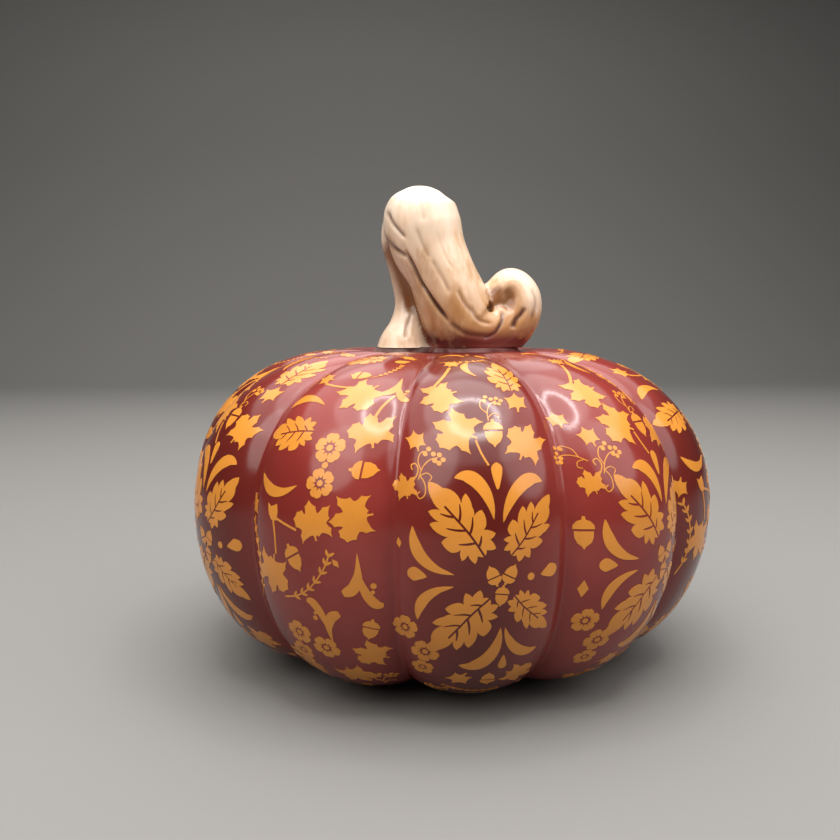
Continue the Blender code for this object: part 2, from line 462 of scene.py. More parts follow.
def geometry_tree(name, inputs):
    """An empty geometry tree with a Geometry output and one named input for each size."""
    tree = bpy.data.node_groups.new(name, "GeometryNodeTree")
    tree.interface.new_socket("Geometry", in_out="INPUT", socket_type="NodeSocketGeometry")
    for title, value in inputs.items():
        tree.interface.new_socket(title, in_out="INPUT", socket_type=SOCKET_KINDS[type(value)])
    tree.interface.new_socket("Geometry", in_out="OUTPUT", socket_type="NodeSocketGeometry")
    board = Board(tree)
    start = board.raw("NodeGroupInput")
    wires = {socket.name: Wire(board, socket) for socket in start.outputs if socket.name}
    return board, wires


def grown(host, board, inputs):
    """Runs the tree on the host object and returns the result as a plain mesh."""
    modifier = host.modifiers.new(board.tree.name, "NODES")
    modifier.node_group = board.tree
    for item in board.tree.interface.items_tree:
        if item.item_type == "SOCKET" and item.in_out == "INPUT" and item.name in inputs:
            modifier[item.identifier] = inputs[item.name]
    graph = bpy.context.evaluated_depsgraph_get()
    mesh = bpy.data.meshes.new_from_object(host.evaluated_get(graph))
    host.modifiers.remove(modifier)
    return mesh


print("kinds of input:", ", ".join(kind.__name__ for kind in SOCKET_KINDS))

# %% [markdown]
# ## The rule as nodes
#
# `ribbed_point` wires the rule once: give it a turn about the axis and a distance along the
# outline, and it returns the place on the glazed skin. A groove is deepest half way between two
# crests. A small power of the cosine gives the soft shoulders and the tight valley of a moulded
# rib, and the two fades let the grooves run out on the stem's seat and inside the foot.


# %% Ribbed point
def sampled(board, outline, length):
    """Radius and height of the outline at a distance along it."""
    inputs = {"Curves": outline, "Length": length}
    node = board.raw("GeometryNodeSampleCurve", {"mode": "LENGTH"}, inputs)
    split = board.raw("ShaderNodeSeparateXYZ", {}, {"Vector": Wire(board, node.outputs["Position"])})
    return Wire(board, split.outputs["X"]), Wire(board, split.outputs["Z"])


def ribbed_point(board, size, outline, angle, length):
    """The place on the ribbed skin, and how deep it lies in a groove."""
    radius, height = sampled(board, outline, length)
    ridge = (angle * size["Lobes"] * 0.5).math("COSINE") ** 2
    rounding = size["Groove rounding"]
    power = size["Groove sharpness"] * 0.5
    level = ((ridge + rounding) / (1 + rounding)) ** power
    floor_level = (rounding / (1 + rounding)) ** power
    above = height > size["Waist height"]
    at_top = radius.between(size["Seat radius"], size["Seat radius"] * 1.4)
    at_foot = radius.between(size["Foot ring radius"] * 0.4, size["Foot ring radius"])
    groove = (1 - level) / (1 - floor_level) * (at_top * above + at_foot * (1 - above))
    half = size["Upper height"] * above + size["Lower height"] * (1 - above)
    over_waist = height - size["Waist height"]
    dip = 1 - size["Groove dip"] * groove * (over_waist / half).math("ABSOLUTE")
    reach = radius * (1 - size["Groove depth"] * groove)
    place = board.node("ShaderNodeCombineXYZ", {}, {
        "X": reach * angle.math("SINE"),
        "Y": reach * angle.math("COSINE") * -1,
        "Z": (size["Waist height"] + over_waist * dip).math("MAXIMUM", size["Foot height"]),
    })
    return place, groove


print(f"groove at the waist: {GROOVE_DEPTH * CREST_RADIUS / MM:.1f} mm deep")

# %% [markdown]
# ## The glazed body
#
# A flat grid carries the rule: its columns go round the body, closer together in the grooves where
# the skin bends fast, and its rows follow the outline. Merging the seam and the two poles closes
# the skin. The depth of the groove is stored at each point, because a glaze runs into hollows as
# it melts, and the material can then darken it there.

# %% Body
COLUMNS_PER_LOBE = 28
OUTSIDE_ROWS = 138
INSIDE_ROWS = 42
GROOVE_CROWDING = 0.72
MERGE_GAP = 0.01 * MM


def body_tree(material):
    sizes = dict(RULE_SIZES)
    sizes.update({
        "Outline": cast_outline, "Skin material": material, "Columns per lobe": COLUMNS_PER_LOBE,
        "Outside rows": OUTSIDE_ROWS, "Inside rows": INSIDE_ROWS, "Crowding": GROOVE_CROWDING,
        "Outside length": OUTSIDE_LENGTH, "Whole length": CAST_LENGTH,
    })
    board, size = geometry_tree("ribbed body", sizes)
    outline = board.raw("GeometryNodeObjectInfo", {}, {"Object": size["Outline"]}).outputs["Geometry"]
    columns = size["Columns per lobe"] * size["Lobes"] + 1
    rows = size["Outside rows"] + size["Inside rows"]
    grid = board.node("GeometryNodeMeshGrid", {}, {"Size X": 1.0, "Size Y": 1.0, "Vertices X": columns,
                                                   "Vertices Y": rows + 1})
    place = board.raw("ShaderNodeSeparateXYZ", {}, {"Vector": board.node("GeometryNodeInputPosition")})
    lobe = (Wire(board, place.outputs["X"]) + 0.5) * size["Lobes"]
    crowded = lobe + size["Crowding"] * (lobe * math.tau).math("SINE") / math.tau
    angle = crowded / size["Lobes"] * math.tau
    row = (Wire(board, place.outputs["Y"]) + 0.5) * rows
    outer = (row / size["Outside rows"]).math("MINIMUM", 1.0) * size["Outside length"]
    inner = ((row - size["Outside rows"]) / size["Inside rows"]).math("MAXIMUM", 0.0)
    length = outer + inner * (size["Whole length"] - size["Outside length"])
    skin, groove = ribbed_point(board, size, Wire(board, outline), angle, length)
    moved = board.node("GeometryNodeSetPosition", {}, {"Geometry": grid, "Position": skin})
    noted = board.node("GeometryNodeStoreNamedAttribute", {"data_type": "FLOAT", "domain": "POINT"},
                       {"Geometry": moved, "Name": "groove", "Value": groove})
    closed = board.node("GeometryNodeMergeByDistance", {}, {"Geometry": noted, "Distance": MERGE_GAP})
    smooth = board.node("GeometryNodeSetShadeSmooth", {}, {"Geometry": closed})
    whole = board.node("GeometryNodeRealizeInstances", {}, {"Geometry": smooth})
    coated = board.node("GeometryNodeSetMaterial", {}, {"Geometry": whole, "Material": size["Skin material"]})
    board.raw("NodeGroupOutput", {}, {"Geometry": coated})
    return board, sizes


print("body grid:", COLUMNS_PER_LOBE * LOBES, "by", OUTSIDE_ROWS + INSIDE_ROWS)

# %% [markdown]
# ## The burgundy glaze
#
# A coloured gloss glaze over white clay is never one flat red. It melts thinner over the crests,
# where the clay warms it, and pools darker in the grooves; a soft cloudiness shows where it was
# brushed; and its skin has a faint ripple and a few pinholes. Each of these is one line below.


# %% Glaze
def new_board(name):
    """A material with its Principled shader and a board to wire it on."""
    material = bpy.data.materials.new(name)
    material.use_nodes = True
    return material, Board(material.node_tree), material.node_tree.nodes["Principled BSDF"]


def mixed(board, share, first, second):
    """A colour between two, by a share from 0 to 1."""
    node = board.raw("ShaderNodeMix", {"data_type": "RGBA"})
    board.plug(node.inputs[0], share)
    for socket, colour in ((node.inputs[6], first), (node.inputs[7], second)):
        board.plug(socket, (*colour, 1.0) if isinstance(colour, tuple) else colour)
    return Wire(board, node.outputs[2])


def noise(board, place, scale, detail=2.0, roughness=0.5, distortion=0.0):
    return board.node("ShaderNodeTexNoise", {}, {
        "Vector": place, "Scale": scale, "Detail": detail, "Roughness": roughness, "Distortion": distortion,
    })


def object_place(board):
    return board.node("ShaderNodeTexCoord", output=3)


def named_value(board, name):
    return board.node("ShaderNodeAttribute", {"attribute_name": name}, output=2)


def bumped(board, height, strength, distance):
    inputs = {"Strength": strength, "Distance": distance, "Height": height}
    return board.node("ShaderNodeBump", {}, inputs)


GLAZE = (0.200, 0.023, 0.018)
GLAZE_THIN = (0.262, 0.040, 0.033)
GLAZE_POOLED = (0.070, 0.008, 0.005)
GLASSY_SPECULAR = 0.45


def burgundy_glaze():
    material, board, shader = new_board("burgundy_glaze_fine")
    place = object_place(board)
    groove = named_value(board, "groove")
    cloud = noise(board, place, 28.0, 3.0, 0.55)
    brushed = noise(board, place, 110.0, 2.0, 0.6)
    colour = mixed(board, cloud.between(0.35, 0.7) * 0.8, GLAZE, GLAZE_THIN)
    colour = mixed(board, (groove ** 1.4 * 0.75 + brushed * 0.12).clamped(), colour, GLAZE_POOLED)
    pits = board.node("ShaderNodeTexVoronoi", {}, {"Vector": place, "Scale": 210.0})
    pinhole = 1 - pits.between(0.02, 0.07)
    ripple = noise(board, place, 190.0, 2.0, 0.5) + noise(board, place, 60.0, 1.0) * 0.8
    board.plug(shader.inputs["Base Color"], colour)
    board.plug(shader.inputs["Roughness"], 0.13 + brushed * 0.06)
    board.plug(shader.inputs["Normal"], bumped(board, ripple - pinhole * 0.5, 0.10, 0.0004))
    shader.inputs["Specular IOR Level"].default_value = GLASSY_SPECULAR
    return material


glaze = burgundy_glaze()
print("glaze nodes:", len(glaze.node_tree.nodes))

# %% [markdown]
# ## Growing the body
#
# The tree runs once on an empty host, and what it grows is taken off as a plain mesh, because a
# finished piece is easier to hand on than a live modifier. A grid that is folded into a closed skin
# can come out inside out, so its faces are turned outward before the piece is put on its body.


# %% Make the body
def piece_from(name, mesh):
    obj = bpy.data.objects.new(name, mesh)
    bpy.context.scene.collection.objects.link(obj)
    return obj


def faces_outward(mesh):
    """Turns every face of a closed mesh outward."""
    shape = bmesh.new()
    shape.from_mesh(mesh)
    bmesh.ops.recalc_face_normals(shape, faces=shape.faces)
    shape.to_mesh(mesh)
    shape.free()


def make_body():
    host = piece_from("body_host", bpy.data.meshes.new("body_host"))
    board, sizes = body_tree(glaze)
    mesh = grown(host, board, sizes)
    bpy.data.objects.remove(host)
    faces_outward(mesh)
    mesh.shade_smooth()
    body = piece_from("glazed_body", mesh)
    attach(body, "root")
    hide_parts("pumpkin_shell")
    return body


glazed_body = make_body()
corners = np.array([vertex.co for vertex in glazed_body.data.vertices])
print("body", len(glazed_body.data.polygons), "faces,", corners.min(0).round(4), corners.max(0).round(4))

# %% [markdown]
# ## The gold print, drawn as ink shapes
#
# The pattern is a fired transfer: flat ink on a carrier, slid wet onto the glaze. It could be a
# mask in the material, but leaves with veins need a drawing, so each motif is drawn once, flat and
# in millimetres, as closed outlines. Four tools are enough: a stroke of changing width makes every
# stem, scroll, bud and crescent, a line keeps its width, a disc makes berries and dots, and bowed
# sides between a few corners make the leaves.

# %% Drawing tools
FINEST_HALF = 0.04
SIDE_SHARES = (0.0, 0.33, 0.67)


def turned(points, degrees, scale=1.0, shift=(0.0, 0.0)):
    """A flat outline, turned, scaled and moved."""
    turn = math.radians(degrees)
    cosine, sine = math.cos(turn) * scale, math.sin(turn) * scale
    return [(x * cosine - y * sine + shift[0], x * sine + y * cosine + shift[1]) for x, y in points]


def smooth_path(points, steps=8):
    """A smooth curve through a few points."""
    padded = [points[0], *points, points[-1]]
    path = []
    for a, b, c, d in zip(padded, padded[1:], padded[2:], padded[3:]):
        for step in range(steps):
            t = step / steps
            path.append(tuple(
                0.5 * (2 * q + (r - p) * t + (2 * p - 5 * q + 4 * r - s) * t * t + (3 * q - p - 3 * r + s) * t ** 3)
                for p, q, r, s in zip(a, b, c, d)
            ))
    path.append(points[-1])
    return path


def stroke(points, width, thickest=0.5, start=0.0, end=0.0):
    """The outline of a stroke along a smooth curve.

    It is thickest at one share of its length, and start and end are shares of that width.
    """
    path = smooth_path(points)
    left, right = [], []
    for index, (x, y) in enumerate(path):
        share = index / (len(path) - 1)
        before = path[max(0, index - 1)]
        after = path[min(len(path) - 1, index + 1)]
        run, rise = after[0] - before[0], after[1] - before[1]
        size = math.hypot(run, rise) or 1.0
        if share < thickest:
            swell = start + (1 - start) * math.sin(math.pi / 2 * share / thickest)
        else:
            swell = end + (1 - end) * math.sin(math.pi / 2 * (1 - share) / (1 - thickest))
        half = max(FINEST_HALF, width / 2 * swell)
        left.append((x - rise / size * half, y + run / size * half))
        right.append((x + rise / size * half, y - run / size * half))
    return left + right[::-1]


def line(points, width=0.6):
    return stroke(points, width, 0.5, 1.0, 1.0)


def disc(x, y, radius, sides=12):
    return [(x + radius * math.cos(math.tau * i / sides), y + radius * math.sin(math.tau * i / sides))
            for i in range(sides)]


def bowed(outline, bulge):
    """The same closed outline with every side bent outward, so that corners stay sharp between curves."""
    bent = []
    for (x0, y0), (x1, y1) in zip(outline, outline[1:] + outline[:1]):
        for share in SIDE_SHARES:
            lift = bulge * 4 * share * (1 - share)
            bent.append((x0 + (x1 - x0) * share + (y1 - y0) * lift, y0 + (y1 - y0) * share - (x1 - x0) * lift))
    return bent


print("points round a plain stroke:", len(stroke([(0, 0), (0, 10)], 1.0)))

# %% [markdown]
# ## Leaves and acorns
#
# A leaf's character is in its corners: where the lobes end and where the notches lie. So each leaf
# is a list of corners, and the bowed sides between them keep the tips sharp. The oak leaf's veins
# are cut out of the ink, and the glaze shows through them as dark lines. Every motif returns three
# layers: ink, cuts in that ink, and ink laid over the cuts.

# %% Leaves and acorns
TRIO_SIZE = 0.74
OAK_SLIMNESS = 0.84
OAK_OUTLINE = [
    (0.0, 0.0), (2.0, 1.2), (4.8, -0.2), (5.2, 3.0), (8.0, 3.4), (5.4, 6.4), (7.6, 7.4), (9.2, 11.2), (5.8, 11.2),
    (7.2, 13.6), (8.4, 17.8), (5.0, 16.2), (5.6, 20.0), (3.2, 23.0), (0.4, 27.0), (-2.4, 22.6), (-2.4, 18.4),
    (-6.2, 20.2), (-5.4, 16.0), (-8.6, 17.0), (-7.4, 12.4), (-5.0, 10.6), (-9.0, 10.8), (-8.4, 6.8), (-5.2, 5.8),
    (-7.2, 3.0), (-4.2, 3.4), (-4.2, 0.0), (-1.8, 1.4),
]


def oak_leaf():
    """A veined oak leaf, tip up, with its base at the origin."""
    cuts = [line([(0.0, -0.5), (0.6, 8.0), (-0.3, 18.5)], 0.8)]
    for height, reach, lift in ((3.2, 3.6, 2.2), (7.6, 5.2, 3.6), (12.4, 4.4, 4.0)):
        cuts.append(stroke([(0.3, height), (reach * 0.55, height + lift * 0.4), (reach, height + lift)],
                           0.8, 0.3, 0.8, 0.35))
    for height, reach, lift in ((4.8, 4.6, 2.6), (9.4, 4.6, 3.8), (14.2, 3.2, 3.4)):
        cuts.append(stroke([(0.3, height), (-reach * 0.5, height + lift * 0.45), (-reach, height + lift)],
                           0.8, 0.3, 0.8, 0.35))
    slim = [[(OAK_SLIMNESS * x, y) for x, y in outline] for outline in (bowed(OAK_OUTLINE, 0.10), *cuts)]
    return slim[:1], slim[1:], []


MAPLE_OUTLINE = [
    (-0.2, 7.6), (2.0, 5.0), (2.2, 2.8), (4.4, 4.4), (7.2, 4.6), (6.0, 2.2), (6.2, 0.4), (4.8, -0.8), (6.2, -2.8),
    (5.8, -5.6), (3.0, -3.6), (1.4, -4.7), (0.6, -4.0), (0.4, -5.8), (-0.3, -5.8), (-0.5, -3.9), (-2.6, -4.3),
    (-5.2, -6.0), (-5.2, -3.2), (-4.4, -1.4), (-6.6, -0.2), (-7.0, 2.6), (-5.2, 4.6), (-3.2, 4.8), (-2.3, 3.2),
    (-2.0, 5.8),
]
IVY_OUTLINE = [
    (0.0, 5.0), (1.5, 2.6), (4.0, 3.2), (3.0, 0.4), (3.6, -2.2), (1.0, -1.9), (0.4, -4.0), (-0.2, -4.0),
    (-0.5, -1.9), (-3.0, -2.8), (-3.0, 0.0), (-4.3, 2.4), (-1.9, 2.5),
]


def maple_leaf():
    """A broad leaf with five lobes and deep notches beside the middle one."""
    return [bowed(MAPLE_OUTLINE, 0.09)], [], []


def ivy_leaf():
    return [bowed(IVY_OUTLINE, 0.10)], [], []


def acorn_shapes():
    """A nut that points down under a cap, with a dark line between them."""
    nut = [(-2.9, 0.2), (-2.8, -1.8), (-1.9, -3.6), (-0.6, -4.6), (0.0, -5.6),
           (0.6, -4.6), (1.9, -3.6), (2.8, -1.8), (2.9, 0.2)]
    cap = [(-3.3, 0.9), (-3.1, 2.2), (-2.0, 3.4), (-0.6, 3.9), (-0.4, 5.0), (0.5, 5.0),
           (0.6, 3.9), (2.0, 3.4), (3.1, 2.2), (3.3, 0.9)]
    return [nut, cap]


def acorn():
    return acorn_shapes(), [], []


def acorn_trio():
    """Three acorns with their caps together."""
    ink = []
    for degrees, x, y in ((203, -2.7, 2.5), (152, 2.9, 2.7), (-8, 0.3, -4.3)):
        ink += [turned(shape, degrees, TRIO_SIZE, (x, y)) for shape in acorn_shapes()]
    return ink, [], []


print("leaf corners:", len(OAK_OUTLINE), len(MAPLE_OUTLINE), len(IVY_OUTLINE))

# %% [markdown]
# ## Flowers, scrolls and sprigs
#
# The rest is strokes, discs and arcs. A crescent, a horn, a bud and a drop differ only in their path
# and in where they are thickest. The flower needs all three layers: petals, a dark ring of stamens
# cut out of them, and a gold eye laid over the ring.


# %% Flowers, scrolls and sprigs
def flower():
    """Five notched petals round a dark ring of stamens and a gold eye."""
    petals = []
    for step in range(60):
        turn = math.tau * step / 60
        reach = 3.35 + 1.75 * abs(math.cos(2.5 * turn)) ** 0.45 - 0.35 * max(0.0, math.cos(5 * turn)) ** 8
        petals.append((reach * math.sin(turn), reach * math.cos(turn)))
    ring = []
    for step in range(40):
        turn = math.tau * step / 40
        reach = 1.75 if step % 4 else 2.75
        ring.append((reach * math.sin(turn), reach * math.cos(turn)))
    return [petals], [ring], [disc(0, 0, 1.05)]


def crescent():
    """A long curved leaf, its back to the left, thickest a little before its middle."""
    return [stroke([(0.6, 9.2), (-0.9, 5.0), (-0.9, 0.2), (1.6, -4.8), (6.0, -8.8)], 3.9, 0.42)], [], []


def horn():
    """A scroll leaf: broad and blunt at the top, swept down to a fine point."""
    path = [(-6.4, 5.0), (-3.4, 5.6), (-0.4, 4.4), (2.4, 1.0), (4.2, -3.4), (4.9, -7.2)]
    return [stroke(path, 4.2, 0.36)], [], []


def bud():
    return [stroke([(0, 4.4), (0, 2.4), (0, -0.6), (0, -4.2)], 3.6, 0.34, 0.1, 0.12)], [], []


def drop():
    return [stroke([(-3.2, 0), (-1.4, 0.2), (0.6, 0.1), (3.4, -0.3)], 4.6, 0.42, 0.25, 0.0)], [], []


def diamond():
    return [[(-1.2, 0), (0, 2.1), (1.2, 0), (0, -2.1)]], [], []


def dot():
    return [disc(0, 0, 1.25)], [], []


def berry_sprig():
    """Berries at the ends of a curling, branching stalk."""
    ink = [line([(-3.6, -7.0), (-2.0, -2.6), (0.8, 0.6), (4.2, 1.8)], 0.45),
           line([(-2.4, -3.4), (-3.6, 0.2), (-2.2, 3.6), (0.2, 4.2)], 0.45),
           line([(-2.8, -5.4), (-0.2, -4.4), (1.6, -5.8), (0.6, -7.4)], 0.4)]
    for x, y in ((4.9, 2.9), (6.2, 1.0), (4.6, -0.4), (2.6, 3.2), (0.9, 5.2), (-0.6, 3.2), (3.0, 0.6)):
        ink.append(disc(x, y, 1.0, 10))
    return ink, [], []


def twig():
    """A fern-like twig with leaflets on both sides."""
    spine = smooth_path([(-9.0, -6.4), (-3.6, -5.0), (1.6, -1.6), (6.2, 4.0), (8.4, 8.8)], 4)
    ink = [line(spine[::4] + spine[-1:], 0.5)]
    for index in range(3, len(spine) - 1, 2):
        x, y = spine[index]
        run, rise = spine[index + 1][0] - spine[index - 1][0], spine[index + 1][1] - spine[index - 1][1]
        heading = math.degrees(math.atan2(rise, run))
        for hand in (1, -1):
            leaflet = stroke([(0, 0), (1.1, 0.1), (2.3, 0)], 0.85, 0.5)
            ink.append(turned(leaflet, heading + hand * 38, 1.0, (x, y)))
    return ink, [], []


def fleur():
    """A three-armed scroll: a point up, a round lobe one way and a hook the other."""
    ink = [stroke([(0.0, 9.6), (0.1, 4.0), (-0.4, 0.6), (-2.2, -2.8), (-5.4, -4.4)], 3.9, 0.78, 0.0, 0.5),
           stroke([(0.0, 5.0), (0.6, 0.4), (2.2, -4.6), (4.6, -8.2), (7.0, -8.8)], 3.4, 0.7, 0.0, 0.35),
           disc(4.6, -1.6, 1.0), disc(4.2, -3.8, 0.7)]
    return ink, [], []


def stalk():
    return [line([(0, 0), (0.4, 5.0), (0, 10.0)], 0.7)], [], []


def curl():
    """A fine tendril."""
    return [line([(-4.2, -3.0), (-1.4, -1.4), (0.4, 1.8), (-0.4, 4.2), (-2.0, 3.6), (-1.6, 2.0)], 0.45)], [], []


def blossom_branch():
    """A closed tulip bud with two long stalks."""
    bloom = [(-2.6, 2.6), (-0.8, 1.7), (2.0, 2.9), (2.6, 0.4), (2.2, -2.4), (-0.4, -2.4), (-1.8, -0.6)]
    sideways = line([(2.0, -1.6), (6.0, -2.8), (10.8, -4.2)], 0.7)
    downward = line([(0.6, -2.0), (1.6, -7.0), (2.0, -13.0)], 0.7)
    return [bloom, sideways, downward], [], []


MOTIFS = {
    "acorn": acorn, "acorn_trio": acorn_trio, "berry_sprig": berry_sprig, "blossom_branch": blossom_branch,
    "bud": bud, "crescent": crescent, "curl": curl, "diamond": diamond, "dot": dot, "drop": drop, "fleur": fleur,
    "flower": flower, "horn": horn, "ivy_leaf": ivy_leaf, "maple_leaf": maple_leaf, "oak_leaf": oak_leaf,
    "stalk": stalk, "twig": twig,
}
print(len(MOTIFS), "motifs:", ", ".join(MOTIFS))

# %% [markdown]
# ## From drawing to thin slabs of ink
#
# Each drawing becomes a mesh once. A triangulation with points strewn inside bends smoothly when
# it is laid over the ribs, where one big flat face would cut through them. The slab is closed: its
# top stands a tenth of a millimetre proud and its underside is sunk in the glaze. Every motif also
# gets a mirrored twin, drawn the other way round rather than scaled by a negative number, which
# would turn its faces inside out.

# %% Motif meshes
INK_PROUD = 0.10 * MM
INK_SUNK = 0.25 * MM
LONGEST_EDGE = 1.9
ROW_GAP = LONGEST_EDGE * 0.87
BORDER_GAP = 0.45 * LONGEST_EDGE
TINY = 0.0001


def within(x, y, outline):
    """Whether a place lies inside a closed outline."""
    hit = False
    for (x0, y0), (x1, y1) in zip(outline, outline[1:] + outline[:1]):
        if (y0 > y) != (y1 > y) and x < (x1 - x0) * (y - y0) / (y1 - y0) + x0:
            hit = not hit
    return hit


def inked(x, y, drawing):
    ink, cuts, over = drawing
    in_ink, in_cut, in_over = (any(within(x, y, outline) for outline in layer) for layer in (ink, cuts, over))
    return in_over or (in_ink and not in_cut)


def triangulated(drawing):
    """Flat points and the triangles that hold ink."""
    points, edges = [], []
    for outline in [outline for layer in drawing for outline in layer]:
        first = len(points)
        for (x0, y0), (x1, y1) in zip(outline, outline[1:] + outline[:1]):
            pieces = max(1, math.ceil(math.hypot(x1 - x0, y1 - y0) / LONGEST_EDGE))
            points += [Vector((x0 + (x1 - x0) * i / pieces, y0 + (y1 - y0) * i / pieces))
                       for i in range(pieces)]
        count = len(points) - first
        edges += [(first + i, first + (i + 1) % count) for i in range(count)]
    low = [min(point[axis] for point in points) for axis in (0, 1)]
    high = [max(point[axis] for point in points) for axis in (0, 1)]
    border = KDTree(len(points))
    for index, point in enumerate(points):
        border.insert((*point, 0), index)
    border.balance()
    y, row = low[1], 0
    while y < high[1]:
        x = low[0] + (row % 2) * LONGEST_EDGE / 2
        while x < high[0]:
            if inked(x, y, drawing) and border.find((x, y, 0))[2] > BORDER_GAP:
                points.append(Vector((x, y)))
            x += LONGEST_EDGE
        y += ROW_GAP
        row += 1
    spots, _, faces, *_ = delaunay_2d_cdt(points, edges, [], 0, TINY)
    kept = []
    for face in faces:
        x = sum(spots[i].x for i in face) / 3
        y = sum(spots[i].y for i in face) / 3
        size = (spots[face[1]] - spots[face[0]]).cross(spots[face[2]] - spots[face[0]])
        if abs(size) > TINY and inked(x, y, drawing):
            kept.append(tuple(face) if size > 0 else tuple(face[::-1]))
    return spots, kept


def ink_slab(name, drawing, hand):
    """A closed slab of ink, in metres, its face towards +Z."""
    if hand < 0:
        drawing = [[[(-x, y) for x, y in outline] for outline in layer] for layer in drawing]
    spots, faces = triangulated(drawing)
    used = sorted({i for face in faces for i in face})
    place = {i: new for new, i in enumerate(used)}
    top = [(spots[i].x * MM, spots[i].y * MM, INK_PROUD) for i in used]
    under = [(x, y, -INK_SUNK) for x, y, _ in top]
    count = len(top)
    faces = [tuple(place[i] for i in face) for face in faces]
    sides = {(a, b) for face in faces for a, b in zip(face, face[1:] + face[:1])}
    walls = [(b, a, a + count, b + count) for a, b in sides if (b, a) not in sides]
    mesh = bpy.data.meshes.new(name)
    bottoms = [tuple(i + count for i in face[::-1]) for face in faces]
    mesh.from_pydata(top + under, [], faces + bottoms + walls)
    return bpy.data.objects.new(name, mesh)


def draw_library():
    library = bpy.data.collections.new("ink_library")
    for name, draw in MOTIFS.items():
        for hand, side in ((1, "a"), (-1, "b")):
            library.objects.link(ink_slab(f"{name}_{side}", draw(), hand))
    return library


ink_library = draw_library()
MOTIF_NUMBER = {name: index for index, name in enumerate(sorted(obj.name for obj in ink_library.objects))}

# %% [markdown]
# ## Laying out the transfers
#
# A layout lists motifs in millimetres across a rib and above the waist. `span` stretches a motif
# between two places, as a stem or a scroll wants. `spot` puts one down by its middle. Both return
# the same row, so a layout can mix them freely: the motif's name, its place, its turn and its size.

# %% Placing motifs
END_MARKS = {
    "oak_leaf": ((0, 0), (0, 26)), "crescent": ((0.6, 9.2), (6, -8.8)), "horn": ((-6.4, 5), (4.9, -7.2)),
    "twig": ((-9, -6.4), (8.4, 8.8)), "stalk": ((0, 0), (0, 10)),
}


def spot(motif, x, y, turn=0, size=1.0, hand=1):
    return f"{motif}_{'a' if hand > 0 else 'b'}", x, y, math.radians(turn), size


def span(motif, start, end, hand=1):
    """Places a motif so that its end marks fall on start and end."""
    (x0, y0), (x1, y1) = END_MARKS[motif]
    x0, x1 = x0 * hand, x1 * hand
    size = math.dist(start, end) / math.dist((x0, y0), (x1, y1))
    turn = math.atan2(end[1] - start[1], end[0] - start[0]) - math.atan2(y1 - y0, x1 - x0)
    x = start[0] - size * (x0 * math.cos(turn) - y0 * math.sin(turn))
    y = start[1] - size * (x0 * math.sin(turn) + y0 * math.cos(turn))
    return f"{motif}_{'a' if hand > 0 else 'b'}", x, y, turn, size


print("a stalk twice its own length has size", span("stalk", (0, 0), (0, 20))[4])

# %% [markdown]
# ## The two designs
#
# Two designs take turns round the body: a medallion of four oak leaves round three acorns, and a
# bouquet of flowers and maple leaves. Eleven is odd, so one of them comes twice running, and the
# second time it carries a few extra motifs. The decorator cut and shifted each sheet, so no two
# ribs match exactly.

# %% Designs
MEDALLION = [
    span("oak_leaf", (-0.5, -0.5), (-17.5, 21.5)), span("oak_leaf", (8, -0.5), (21.5, 17)),
    span("oak_leaf", (1.5, -14.5), (-16.5, -35.5)), span("oak_leaf", (9.5, -14), (22.5, -28)),
    span("crescent", (-23.5, 8), (-10, -6.5)), span("crescent", (-21.5, -23.5), (-10, -10.5), -1),
    spot("drop", -22, -7.5), spot("diamond", -28.5, 2, 10, 0.8), spot("acorn_trio", 5, -9.5, 0, 0.95),
    spot("dot", 15, -8), spot("drop", 22, -7, 200),
    span("horn", (-9.5, 24), (2.5, 11)), span("horn", (19.5, 22), (5.5, 10), -1), spot("bud", 4, 24.5),
    span("horn", (-7, -42), (5.5, -25.5), -1), span("horn", (19.5, -36.5), (7, -25.5)),
    spot("bud", 7.5, -41, 180, 0.8),
    spot("flower", -26, -28, 0, 0.95), spot("flower", -18.5, -37, 30), spot("flower", -19, -46, 10, 0.8),
    spot("maple_leaf", -26, 20, 15, 0.65), spot("curl", -21.5, 24), spot("curl", -18.5, 20, 150, 0.9, -1),
    spot("berry_sprig", -18, 29, 0, 0.85), spot("ivy_leaf", -21.5, 36, 10, 0.9),
    spot("maple_leaf", -7.5, 40, 65, 1.15), span("stalk", (-2, 36.5), (1.5, 28)),
    spot("maple_leaf", -12, 55, 110, 1.05), spot("acorn", 4, 39.5), spot("maple_leaf", 14.5, 35, -25, 1.05),
    spot("berry_sprig", 3.5, 50, 20, 0.8), spot("ivy_leaf", 13.5, 51.5, 0, 1.05),
    span("oak_leaf", (12.5, 57.5), (9.5, 79)), span("crescent", (0, 78.5), (1.5, 66)),
    span("stalk", (-14, 60), (-7, 73.5)), spot("ivy_leaf", -6, 77, -25, 0.75), span("twig", (-10, 81), (6, 82)),
    spot("ivy_leaf", -6, -50, 150), spot("acorn", 3.5, -51, 180, 0.8), span("twig", (-10, -57), (8, -62)),
    spot("maple_leaf", 14, -50, -120, 0.9), spot("berry_sprig", -12, -62, 160, 0.8),
    spot("maple_leaf", 1, -74, 10, 0.9),
    spot("dot", 17, -62), spot("horn", -9, -80, 90, 0.7), spot("flower", 10, -82, 0, 0.8),
    span("horn", (-9, 92), (0, 87)), spot("ivy_leaf", 7, 90, 50, 0.75), spot("dot", 1.5, 92, 0, 0.7),
]
